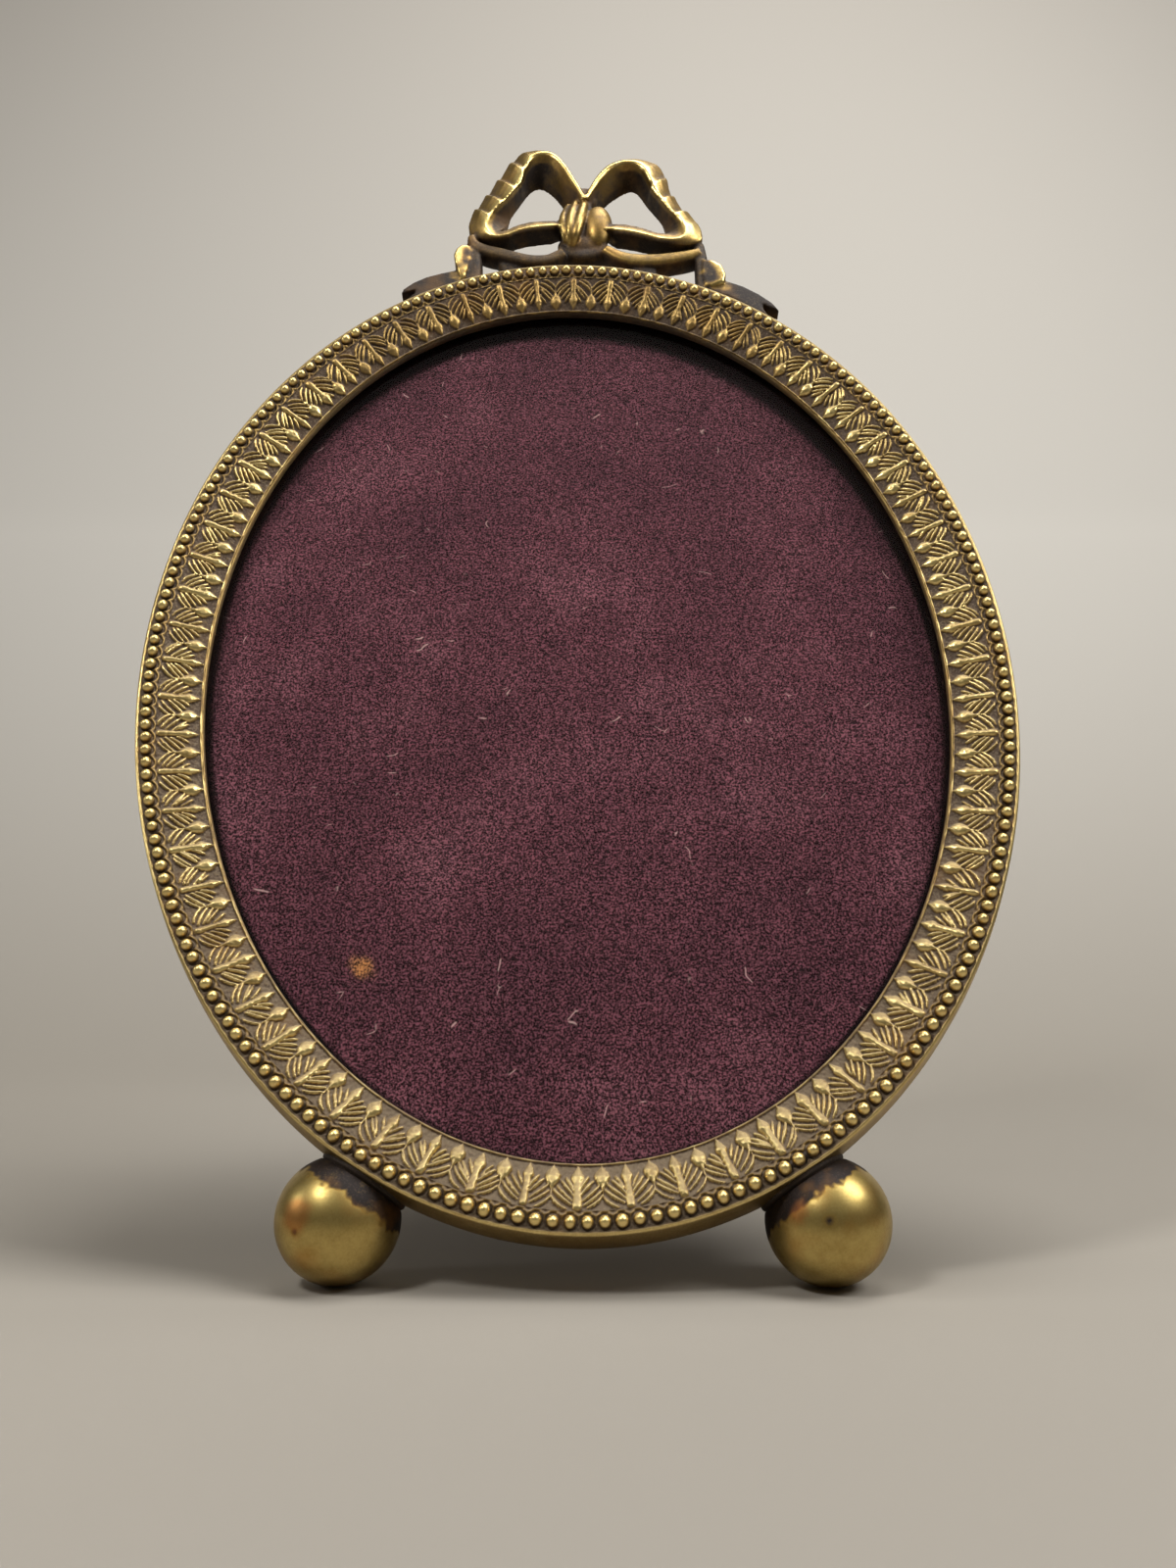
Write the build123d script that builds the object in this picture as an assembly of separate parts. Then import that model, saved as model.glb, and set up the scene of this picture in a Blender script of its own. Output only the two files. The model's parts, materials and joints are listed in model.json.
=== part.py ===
from build123d import *
import math
import os

# Oval easel picture frame, cast brass with a velvet-covered back. Millimetres and degrees.
# Everything is drawn on the upright picture: x to the right, y up the picture and z towards the
# viewer, with zero on the ledge that carries the beads. It is then leaned back on its feet and leg.

# Stance
lean_angle = 22.0
leg_angle = 35.0
ring_turn = 3.0

# Ring casting
sight_half_width = 67.0
sight_half_height = 89.0
lip_drop = 3.0
lip_thickness = 2.0
lip_cover = 3.5
band_width = 7.4
band_step = 0.3
channel_width = 0.6
channel_depth = 0.7
ledge_width = 2.6
rim_round = 0.4
rim_swell = 0.6

# Beads
bead_radius = 1.05
bead_pitch = 2.54
bead_inset = 1.1

# What the ring holds, from front to back
glass_thickness = 2.0
picture_gap = 0.3
velvet_thickness = 0.8
board_thickness = 3.0
back_recess = 0.3
edge_clearance = 0.4

# Feet
ball_radius = 9.5
foot_bearing = 24.5
foot_reach = 7.0
foot_set_back = 8.0
collar_radius = 7.4
collar_sink = 1.4
peg_radius = 2.5
peg_length = 5.0
solder_gap = 0.05

# Bow crest
knot_rise = 14.4
bow_reach = 25.0
bow_rise = 25.0
bow_back = 8.0
loop_front = 2.0
ribbon_front = 3.2
tail_front = 3.8
knot_half_height = 6.6
knot_set_back = 4.2
knot_spread = 2.5
wrap_radius = 4.4
bulge_radius = 3.5

# Turn buttons
button_bearing = 48.0
button_width = 6.0
button_reach = 9.0
button_thickness = 1.0
button_play = 0.05
screw_radius = 1.5
screw_clearance = 0.08
screw_length = 6.0
head_radius = 2.8
head_height = 1.2
slot_width = 0.7
slot_depth = 0.6
washer_radius = 2.6
washer_thickness = 0.4

# Hinge
hinge_height = 38.0
knuckle_radius = 2.0
knuckle_gap = 0.2
pin_radius = 0.9
pin_clearance = 0.05
pin_head_radius = 1.4
pin_head_length = 0.6
plate_width = 24.0
plate_height = 20.0
plate_thickness = 1.2
strap_width = 9.4
strap_length = 30.0
strap_thickness = 1.0
heel_length = 7.0
heel_thickness = 1.4
heel_gap = 0.05
rivet_radius = 1.2
rivet_clearance = 0.05
rivet_head_radius = 1.8
rivet_head_height = 0.7
plate_rivet_spread = 8.0
plate_rivet_first = 5.5
plate_rivet_pitch = 9.5
strap_rivet_first = 9.0
strap_rivet_pitch = 8.0
strap_rivet_count = 3

# Easel leg
leg_start = 3.6
leg_top_half_width = 11.0
leg_foot_half_width = 19.0
leg_shoulder = 4.0
leg_board_thickness = 2.5
leg_velvet_thickness = 0.6
trim_overrun = 12.0

# Places outward from the sight edge
ledge_inner = band_width + channel_width
ledge_outer = ledge_inner + ledge_width
rim_outer = ledge_outer + rim_round
bead_line = ledge_inner + bead_inset
pane_edge = lip_cover - edge_clearance
button_line = (lip_cover + rim_outer) / 2

# Places in depth
lip_back = -lip_drop - lip_thickness
glass_back = lip_back - glass_thickness
velvet_face = glass_back - picture_gap
board_front = velvet_face - velvet_thickness
board_back = board_front - board_thickness
back_face = board_back - velvet_thickness
rim_back = back_face - back_recess
hinge_depth = back_face - plate_thickness - knuckle_gap - knuckle_radius
knuckle_length = (plate_width - strap_width) / 2 - knuckle_gap

# Outlines of the bow as shares of its reach and rise, from the middle of the knot
left_loop_back_shares = [
    (0.0, 0.38), (-0.14, 0.72), (-0.37, 1.0), (-0.54, 0.95), (-0.68, 0.74), (-0.82, 0.46), (-0.93, 0.2),
    (-0.99, -0.06), (-0.86, -0.2), (-0.58, -0.16), (-0.24, -0.06), (-0.02, -0.06),
]
left_loop_front_shares = [
    (0.0, 0.38), (-0.14, 0.72), (-0.37, 1.0), (-0.5, 0.93), (-0.57, 0.74), (-0.67, 0.5), (-0.8, 0.3),
    (-0.88, 0.04), (-0.8, -0.13), (-0.58, -0.16), (-0.24, -0.06), (-0.02, -0.06),
]
left_hole_shares = [
    (-0.17, 0.12), (-0.15, 0.3), (-0.24, 0.58), (-0.41, 0.87), (-0.51, 0.78), (-0.58, 0.52), (-0.7, 0.3),
    (-0.8, 0.1), (-0.72, -0.01), (-0.44, 0.05),
]
right_loop_back_shares = [
    (0.0, 0.38), (0.2, 0.66), (0.51, 0.88), (0.68, 0.78), (0.77, 0.6), (0.82, 0.42), (0.93, 0.2),
    (1.06, 0.02), (1.05, -0.2), (0.9, -0.27), (0.56, -0.2), (0.24, -0.11), (0.02, -0.08),
]
right_loop_front_shares = [
    (0.0, 0.38), (0.2, 0.66), (0.51, 0.88), (0.63, 0.76), (0.68, 0.6), (0.75, 0.4), (0.86, 0.17),
    (0.96, 0.01), (0.98, -0.17), (0.87, -0.26), (0.56, -0.2), (0.24, -0.11), (0.02, -0.08),
]
right_hole_shares = [
    (0.2, 0.03), (0.17, 0.18), (0.3, 0.48), (0.49, 0.74), (0.59, 0.64), (0.64, 0.47), (0.74, 0.28),
    (0.87, 0.04), (0.8, -0.11), (0.6, -0.07), (0.42, 0.0),
]
left_ribbon_shares = [
    (-0.99, -0.04), (-0.98, -0.24), (-0.91, -0.41), (-0.7, -0.45), (-0.66, -0.6), (-0.62, -0.76), (-0.3, -0.76),
    (-0.26, -0.5), (0.0, -0.46), (0.0, -0.15), (-0.24, -0.17), (-0.34, -0.28), (-0.5, -0.3), (-0.68, -0.22),
    (-0.82, -0.1),
]
right_ribbon_shares = [
    (1.06, -0.14), (1.08, -0.36), (1.1, -0.6), (1.09, -0.92), (0.98, -0.92), (0.97, -0.58), (0.72, -0.5),
    (0.68, -0.8), (0.42, -0.8), (0.39, -0.48), (0.0, -0.46), (0.0, -0.17), (0.24, -0.22), (0.4, -0.28),
    (0.62, -0.32), (0.86, -0.27),
]
left_fold_shares = [(-0.93, -0.2), (-1.06, -0.24), (-1.1, -0.34), (-1.07, -0.52), (-1.04, -0.86), (-0.89, -0.8)]
right_fold_shares = [(1.05, -0.34), (1.15, -0.4), (1.25, -0.56), (1.28, -0.72), (1.24, -1.06), (1.03, -0.98)]
left_tail_shares = [
    (-1.05, -0.52), (-1.28, -0.64), (-1.5, -0.77), (-1.54, -0.86), (-1.45, -0.84), (-1.41, -0.92), (-1.2, -0.98),
    (-1.03, -0.9),
]
right_tail_shares = [
    (1.24, -0.7), (1.48, -0.85), (1.7, -1.02), (1.72, -1.11), (1.63, -1.08), (1.54, -1.14), (1.36, -1.18),
    (1.22, -1.06),
]


def oval_normal(bearing):
    """Outward direction of the sight oval at a bearing, measured from its top towards +x."""
    across = sight_half_height * math.sin(math.radians(bearing))
    along = sight_half_width * math.cos(math.radians(bearing))
    return Vector(across, along, 0).normalized()


def oval_point(bearing, offset):
    """Point of the oval that runs at an offset outside the sight edge."""
    across = sight_half_width * math.sin(math.radians(bearing))
    along = sight_half_height * math.cos(math.radians(bearing))
    return Vector(across, along, 0) + oval_normal(bearing) * offset


def turned(shape):
    """Turns a piece that follows the ring by the angle at which the ring sits on its feet."""
    return Rot(0, 0, ring_turn) * shape


def swept_round(outline):
    """Solid ring of a closed section, drawn as offset outward and depth, round the sight edge."""
    section = Plane(origin=(sight_half_width, 0, 0), x_dir=(1, 0, 0), z_dir=(0, -1, 0))
    return sweep(make_face(section * outline), path=Edge.make_ellipse(sight_half_width, sight_half_height))


def outer_wall(clearance):
    """Outer side of the ring's section, from the front edge round its swelling to the back."""
    front = (rim_outer + clearance, -rim_round)
    middle = (rim_outer + rim_swell + clearance, (rim_back - rim_round) / 2)
    back = (rim_outer + clearance, rim_back)
    return ThreePointArc(front, middle, back)


def bezel():
    """Ring casting: lip, band, channel, bead ledge, swelling wall and the rebate behind the lip."""
    front = Polyline(
        (0, -lip_drop),
        (band_width, -band_step),
        (band_width + channel_width / 2, -channel_depth),
        (ledge_inner, 0),
        (ledge_outer, 0),
        (rim_outer, -rim_round),
    )
    inside = Polyline(
        (rim_outer, rim_back),
        (lip_cover, rim_back),
        (lip_cover, lip_back),
        (0, lip_back),
        (0, -lip_drop),
    )
    ring = turned(swept_round(front + outer_wall(0) + inside))
    tapped = Cylinder(screw_radius + solder_gap, screw_length, align=(Align.CENTER, Align.CENTER, Align.MIN))
    for spot in button_spots().values():
        ring -= spot * tapped
    return ring


def ring_space():
    """The room that the ring takes, a little larger, for fitting what is soldered to it."""
    front = (rim_outer + solder_gap, trim_overrun)
    top = Polyline((0, trim_overrun), front, (rim_outer + solder_gap, -rim_round))
    back = Polyline(
        (rim_outer + solder_gap, rim_back),
        (rim_outer + solder_gap, rim_back - solder_gap),
        (0, rim_back - solder_gap),
        (0, trim_overrun),
    )
    return turned(swept_round(top + outer_wall(solder_gap) + back))


def bead_border():
    """Row of half-round beads, evenly spaced along the ledge."""
    line = Edge.make_ellipse(sight_half_width + bead_line, sight_half_height + bead_line)
    count = round(line.length / bead_pitch)
    bead = Sphere(bead_radius, arc_size1=0, align=None)
    beads = [turned(Pos(line.position_at(index / count)) * bead) for index in range(count)]
    print("beads", count)
    return Compound(children=beads)


def oval_plate(front, thickness):
    """Flat oval that drops into the rebate behind the lip."""
    outline = Ellipse(sight_half_width + pane_edge, sight_half_height + pane_edge)
    return turned(Pos(0, 0, front - thickness) * extrude(outline, thickness))


def drilled(shape, spots):
    """A sheet with the holes of the hinge plate's rivets."""
    hole = Cylinder(rivet_radius + rivet_clearance, rivet_length() + trim_overrun)
    for spot in spots:
        shape -= Pos(spot.X, spot.Y, board_back) * hole
    return shape


def foot_bearing_on_ring(side):
    """Bearing on the ring of a ball foot, such that both balls come level though the ring is turned.

    The side is 1 for the right foot and -1 for the left one.
    """
    level = oval_point(180 - foot_bearing, rim_outer + foot_reach).Y
    high_up, low_down = 90.0, 180.0
    for _ in range(40):
        middle = (high_up + low_down) / 2
        if turned(Pos(oval_point(side * middle, rim_outer + foot_reach))).position.Y > level:
            high_up = middle
        else:
            low_down = middle
    return side * low_down


def foot_centre(side):
    """Middle of a ball foot, on the right for side 1 and on the left for side -1."""
    spot = turned(Pos(oval_point(foot_bearing_on_ring(side), rim_outer + foot_reach))).position
    return Vector(spot.X, spot.Y, -foot_set_back)


def foot_axis(side):
    """Direction from a ball towards the ring, square to the ring's edge."""
    return oval_normal(foot_bearing_on_ring(side)).rotate(Axis.Z, ring_turn) * -1


def flat_height():
    """Distance from a ball's middle to the flat under its collar."""
    return math.sqrt(ball_radius**2 - collar_radius**2)


def foot_place(side):
    """Place on a ball's middle whose z axis points to the ring."""
    return Plane(origin=foot_centre(side), x_dir=(0, 0, 1), z_dir=foot_axis(side)).location


def ball_foot(side):
    """Ball with a flat and a blind hole for the collar's peg."""
    above = Cylinder(ball_radius, ball_radius, align=(Align.CENTER, Align.CENTER, Align.MIN))
    below = (Align.CENTER, Align.CENTER, Align.MAX)
    hole = Cylinder(peg_radius + solder_gap, peg_length + solder_gap, align=below)
    flat = Pos(0, 0, flat_height())
    return foot_place(side) * (Sphere(ball_radius) - flat * above - flat * hole)


def foot_collar(side):
    """Short collar from the ball's flat to the ring's outer wall, with its peg in the ball."""
    upright = (Align.CENTER, Align.CENTER, Align.MIN)
    collar = Cylinder(collar_radius, foot_reach + collar_sink - flat_height(), align=upright)
    peg = Cylinder(peg_radius, peg_length, align=(Align.CENTER, Align.CENTER, Align.MAX))
    blank = foot_place(side) * Pos(0, 0, flat_height()) * (collar + peg)
    return largest(blank - ring_space())


def largest(shape):
    """The biggest solid that a cut has left."""
    return max(shape.solids(), key=lambda solid: solid.volume)


def bow_points(shares):
    """Points of an outline of the bow, from its shares."""
    knot_height = sight_half_height + rim_outer + knot_rise
    return [(across * bow_reach, knot_height + up * bow_rise) for across, up in shares]


def smooth_face(shares, depth):
    """Face inside a smooth closed line through an outline of the bow."""
    return Pos(0, 0, depth) * make_face(Spline(*bow_points(shares), periodic=True))


def bow_loop(back_shares, front_shares, hole_shares):
    """A loop of ribbon: it narrows from its back to the ridge at its front, and is open inside."""
    loop = loft([smooth_face(back_shares, -bow_back), smooth_face(front_shares, -loop_front)])
    hole = Pos(0, 0, -bow_back) * extrude(smooth_face(hole_shares, 0), bow_back)
    return loop - hole


def bow_strip(shares, front):
    """A flat piece of the bow with straight corners, from the bow's back to its own front."""
    face = make_face(Polyline(*bow_points(shares), close=True))
    return Pos(0, 0, -bow_back) * extrude(face, bow_back - front)


def rounded_bulge(radius):
    """Egg-shaped swelling of the knot, round about its upright axis."""
    half = split(Ellipse(radius, knot_half_height), bisect_by=Plane.YZ, keep=Keep.TOP)
    return revolve(half, axis=Axis.Y)


def knot():
    """The knot: a wrap and a bulge side by side over the ribbons' crossing."""
    middle = Pos(0, sight_half_height + rim_outer + knot_rise, -knot_set_back)
    wrap = Pos(-knot_spread / 2, 0, 0) * rounded_bulge(wrap_radius)
    return middle * (wrap + Pos(knot_spread, 0, 0) * rounded_bulge(bulge_radius))


def bow_crest():
    """Ribbon bow, one casting, fitted to the top of the ring."""
    bow = bow_loop(left_loop_back_shares, left_loop_front_shares, left_hole_shares)
    bow += bow_loop(right_loop_back_shares, right_loop_front_shares, right_hole_shares)
    for shares in (left_ribbon_shares, right_ribbon_shares, left_fold_shares, right_fold_shares):
        bow += bow_strip(shares, ribbon_front)
    for shares in (left_tail_shares, right_tail_shares):
        bow += bow_strip(shares, tail_front)
    bow += knot()
    return largest(bow - ring_space())


def button_spots():
    """Places of the turn buttons on the ring's back, with x pointing to the middle of the picture."""
    spots = {}
    for name, bearing in (
        ("upper_left", -button_bearing),
        ("upper_right", button_bearing),
        ("lower_left", button_bearing - 180),
        ("lower_right", 180 - button_bearing),
    ):
        point = oval_point(bearing, button_line)
        inward = oval_normal(bearing) * -1
        place = Plane(origin=(point.X, point.Y, rim_back), x_dir=(inward.X, inward.Y, 0), z_dir=(0, 0, 1))
        spots[name] = Rot(0, 0, ring_turn) * place.location
    return spots


def turn_button():
    """Round-ended brass tab that turns on its screw; its front lies at zero."""
    arm = button_reach - button_width / 2
    blank = Pos(arm / 2, 0, 0) * extrude(SlotCenterToCenter(arm, button_width), -button_thickness)
    return Pos(0, 0, -button_play) * (blank - Cylinder(screw_radius + screw_clearance, button_reach))


def button_washer():
    """Spring washer between a button and its screw's head."""
    front = -button_play - button_thickness - button_play
    ring = Cylinder(washer_radius, washer_thickness) - Cylinder(screw_radius + screw_clearance, button_reach)
    return Pos(0, 0, front - washer_thickness / 2) * ring


def button_screw():
    """Slotted screw that holds a turn button to the ring."""
    seat = -button_play - button_thickness - button_play - washer_thickness
    head = Cylinder(head_radius, head_height, align=(Align.CENTER, Align.CENTER, Align.MAX))
    head = fillet(head.edges().group_by(Axis.Z)[0], head_height / 2)
    shank = Cylinder(screw_radius, screw_length - seat - solder_gap, align=(Align.CENTER, Align.CENTER, Align.MIN))
    slot = Pos(0, 0, -head_height) * Box(2 * head_radius, slot_width, 2 * slot_depth)
    return Pos(0, 0, seat) * (head + shank - slot)


def at_each_button(shape):
    """One copy of a small piece at every turn button."""
    return Compound(children=[spot * shape for spot in button_spots().values()])


def hinge_barrel(left, right, radius):
    """Round bar along the hinge's axis between two places across the frame."""
    bar = Cylinder(radius, right - left, rotation=(0, 90, 0))
    return Pos((left + right) / 2, hinge_height, hinge_depth) * bar


def flat_block(width, low, high, back, front):
    """Block that is centred across the frame, given by its heights and depths."""
    return Pos(0, (low + high) / 2, (back + front) / 2) * Box(width, high - low, front - back)


def hinge_plate():
    """Leaf on the back of the frame with the two outer knuckles."""
    low = hinge_height - knuckle_radius
    leaf = flat_block(plate_width, low, hinge_height + plate_height, back_face - plate_thickness, back_face)
    leaf = fillet(leaf.edges().filter_by(Axis.Z).group_by(Axis.Y)[-1], knuckle_radius)
    for side in (-1, 1):
        outer = side * plate_width / 2
        inner = side * (plate_width / 2 - knuckle_length)
        web = flat_block(knuckle_length, low, hinge_height + knuckle_radius, hinge_depth, back_face)
        leaf += Pos((outer + inner) / 2, 0, 0) * web
        leaf += hinge_barrel(min(outer, inner), max(outer, inner), knuckle_radius)
    leaf -= hinge_barrel(-plate_width, plate_width, pin_radius + pin_clearance)
    for spot in plate_rivet_spots():
        leaf -= Pos(spot.X, spot.Y, back_face) * Cylinder(rivet_radius + rivet_clearance, 2 * plate_height)
    return leaf


def hinge_pin():
    """Pin through the knuckles, with its ends spread over them."""
    end = plate_width / 2
    pin = hinge_barrel(-end, end, pin_radius)
    pin += hinge_barrel(-end - pin_head_length, -end, pin_head_radius)
    return pin + hinge_barrel(end, end + pin_head_length, pin_head_radius)


def opened(shape):
    """Swings a piece of the leg out from flat against the back to where it stands."""
    axis = Pos(0, hinge_height, hinge_depth)
    return axis * Rot(leg_angle, 0, 0) * axis.inverse() * shape


def hinge_strap():
    """Leaf on the leg with the middle knuckle, and the heel that stops it against the plate."""
    top = hinge_depth + knuckle_radius
    leaf = flat_block(strap_width, hinge_height - strap_length, hinge_height, top - strap_thickness, top)
    leaf = fillet(leaf.edges().filter_by(Axis.Z).group_by(Axis.Y)[0], knuckle_radius)
    for spot in strap_rivet_spots():
        leaf -= Pos(0, spot, top) * Cylinder(rivet_radius + rivet_clearance, strap_length)
    front = back_face - plate_thickness - heel_gap
    heel = flat_block(strap_width, hinge_height, hinge_height + heel_length, front - heel_thickness, front)
    barrel = hinge_barrel(-strap_width / 2, strap_width / 2, knuckle_radius)
    bore = hinge_barrel(-plate_width, plate_width, pin_radius + pin_clearance)
    return opened(leaf) + heel + barrel - bore


def plate_rivet_spots():
    """Places of the rivets that hold the hinge plate to the board."""
    heights = (hinge_height + plate_rivet_first, hinge_height + plate_rivet_first + plate_rivet_pitch)
    return [Vector(side * plate_rivet_spread, height, 0) for side in (-1, 1) for height in heights]


def strap_rivet_spots():
    """Heights of the rivets that hold the strap to the leg, while the leg is flat against the back."""
    return [hinge_height - strap_rivet_first - index * strap_rivet_pitch for index in range(strap_rivet_count)]


def rivet_length():
    """Grip of a plate rivet: hinge plate, velvet and board."""
    return plate_thickness + velvet_thickness + board_thickness


def domed_head():
    """Rivet head that stands on its flat side towards +z."""
    head = Cylinder(rivet_head_radius, rivet_head_height, align=(Align.CENTER, Align.CENTER, Align.MIN))
    return fillet(head.edges().group_by(Axis.Z)[-1], rivet_head_height / 2)


def plate_rivets():
    """Rivets through the hinge plate and the board, heads at the back."""
    shank = Cylinder(rivet_radius, rivet_length(), align=(Align.CENTER, Align.CENTER, Align.MIN))
    rivet = Pos(0, 0, back_face - plate_thickness) * (shank + Rot(180, 0, 0) * domed_head())
    return Compound(children=[Pos(spot.X, spot.Y, 0) * rivet for spot in plate_rivet_spots()])


def strap_rivets():
    """Rivets through the strap and the leg, with a head on each side."""
    grip = strap_thickness + 2 * leg_velvet_thickness + leg_board_thickness
    top = hinge_depth + knuckle_radius
    shank = Cylinder(rivet_radius, grip, align=(Align.CENTER, Align.CENTER, Align.MAX))
    rivet = shank + domed_head() + Pos(0, 0, -grip) * Rot(180, 0, 0) * domed_head()
    return Compound(children=[opened(Pos(0, spot, top) * rivet) for spot in strap_rivet_spots()])


def leg_reach():
    """Length of the leg from the hinge's axis to well past the table."""
    lean = math.radians(lean_angle)
    axis_height = ring_height() + hinge_height * math.cos(lean) + hinge_depth * math.sin(lean)
    return axis_height / math.cos(math.radians(leg_angle - lean_angle)) + trim_overrun


def leg_layer(front, thickness):
    """One layer of the leg, opened, with its foot still too long."""
    top = hinge_height - leg_start
    foot = hinge_height - leg_reach()
    right = (leg_top_half_width, top - leg_shoulder)
    left = (-leg_top_half_width, top - leg_shoulder)
    outline = Polyline(right, (leg_foot_half_width, foot), (-leg_foot_half_width, foot), left)
    outline += ThreePointArc(left, (0, top), right)
    layer = Pos(0, 0, front - thickness) * extrude(make_face(outline), thickness)
    for spot in strap_rivet_spots():
        layer -= Pos(0, spot, front) * Cylinder(rivet_radius + rivet_clearance, strap_length)
    return opened(layer)


def ring_height():
    """Height of the ring's middle above the table when the balls stand on it."""
    lean = math.radians(lean_angle)
    spot = foot_centre(1)
    return ball_radius - spot.Y * math.cos(lean) - spot.Z * math.sin(lean)


def standing(shape):
    """Leans a piece or a place back and lifts it so that the balls stand on the table."""
    return Pos(0, 0, ring_height()) * Rot(90 - lean_angle, 0, 0) * shape


def cut_at_table(shape):
    """Bevels the leg's foot along the table."""
    return split(shape, bisect_by=Plane.XY, keep=Keep.TOP)


def frame_pieces():
    """The pieces that stay together, by name."""
    spots = plate_rivet_spots()
    pieces = {
        "bezel": bezel(),
        "bead_border": bead_border(),
        "bow_crest": bow_crest(),
        "glass_pane": oval_plate(lip_back, glass_thickness),
        "velvet_front": oval_plate(velvet_face, velvet_thickness),
        "backing_board": drilled(oval_plate(board_front, board_thickness), spots),
        "velvet_back": drilled(oval_plate(board_back, velvet_thickness), spots),
        "button_screws": at_each_button(button_screw()),
        "button_washers": at_each_button(button_washer()),
        "hinge_plate": hinge_plate(),
        "hinge_pin": hinge_pin(),
        "plate_rivets": plate_rivets(),
    }
    for name, side in (("left", -1), ("right", 1)):
        pieces["ball_foot_" + name] = ball_foot(side)
        pieces["foot_collar_" + name] = foot_collar(side)
    for name, spot in button_spots().items():
        pieces["turn_button_" + name] = spot * turn_button()
    return {name: standing(piece) for name, piece in pieces.items()}


def leg_pieces():
    """The pieces that swing with the easel leg, by name."""
    skin_front = hinge_depth + knuckle_radius - strap_thickness
    board = skin_front - leg_velvet_thickness
    skin_back = board - leg_board_thickness
    return {
        "hinge_strap": standing(hinge_strap()),
        "strap_rivets": standing(strap_rivets()),
        "strut_velvet_inner": cut_at_table(standing(leg_layer(skin_front, leg_velvet_thickness))),
        "strut_board": cut_at_table(standing(leg_layer(board, leg_board_thickness))),
        "strut_velvet_outer": cut_at_table(standing(leg_layer(skin_back, leg_velvet_thickness))),
    }


def centred(pieces):
    """Moves all pieces so that the origin lies on the table under the middle of the whole frame."""
    boxes = [piece.bounding_box() for piece in pieces.values()]
    middle = (min(box.min.Y for box in boxes) + max(box.max.Y for box in boxes)) / 2
    places = {"hinge": Pos(0, hinge_height, hinge_depth), **button_spots()}
    for name, place in places.items():
        spot = standing(place).position
        print("axis of", name, round(spot.X, 4), round(spot.Y - middle, 4), round(spot.Z, 4))
    return {name: Pos(0, -middle, 0) * piece for name, piece in pieces.items()}


os.makedirs("parts", exist_ok=True)
for name, piece in centred({**frame_pieces(), **leg_pieces()}).items():
    export_step(piece, "parts/" + name + ".step")
    print(name, len(piece.solids()), round(piece.volume, 1))
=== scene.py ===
"""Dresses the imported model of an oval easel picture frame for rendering.

Sizes in the classes are millimetres on the upright picture: x to the right, y up the picture and z
towards the viewer, with zero on the ledge that carries the beads. Stance turns them into the
model's metres, leant back as the frame stands.
"""
import json
import logging
import math
from dataclasses import dataclass, field
from enum import Enum
from functools import cached_property

import bpy
import numpy as np
from mathutils import Matrix, Vector, kdtree, noise


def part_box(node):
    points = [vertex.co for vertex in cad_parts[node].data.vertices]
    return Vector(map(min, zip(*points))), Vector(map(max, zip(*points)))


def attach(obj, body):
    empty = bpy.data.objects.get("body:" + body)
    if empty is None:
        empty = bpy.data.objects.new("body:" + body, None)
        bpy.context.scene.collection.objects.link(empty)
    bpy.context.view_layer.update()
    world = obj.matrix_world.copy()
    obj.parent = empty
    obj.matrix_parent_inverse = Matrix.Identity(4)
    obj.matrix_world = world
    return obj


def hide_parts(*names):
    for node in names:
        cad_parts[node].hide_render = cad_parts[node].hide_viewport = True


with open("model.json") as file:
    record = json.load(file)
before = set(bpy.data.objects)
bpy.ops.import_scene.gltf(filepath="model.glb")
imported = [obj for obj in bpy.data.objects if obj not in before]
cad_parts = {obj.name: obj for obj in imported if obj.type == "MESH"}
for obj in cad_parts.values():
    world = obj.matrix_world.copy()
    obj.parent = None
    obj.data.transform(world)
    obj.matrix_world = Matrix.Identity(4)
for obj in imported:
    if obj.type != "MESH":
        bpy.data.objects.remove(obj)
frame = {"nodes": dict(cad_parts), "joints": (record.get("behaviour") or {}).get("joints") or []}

LOG = logging.getLogger("picture frame")
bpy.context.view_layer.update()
MM = 0.001
FULL_TURN = 2 * math.pi

Array = np.ndarray
Material = bpy.types.Material
Piece = bpy.types.Object
Socket = bpy.types.NodeSocket
Pixel = tuple[float, float]
Point = tuple[float, float, float]
Colour = tuple[float, float, float, float]
Rows = list[tuple[float, ...]]
Faces = list[list[int]]


class Body(Enum):
    """Bodies of the model that pieces ride on."""

    FRAME = "frame"
    LEG = "leg"


class Side(Enum):
    """The two feet, as seen from the front."""

    LEFT = "left"
    RIGHT = "right"


class FootPart(Enum):
    """The turned parts of a foot."""

    BALL = "ball"
    COLLAR = "collar"


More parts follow.
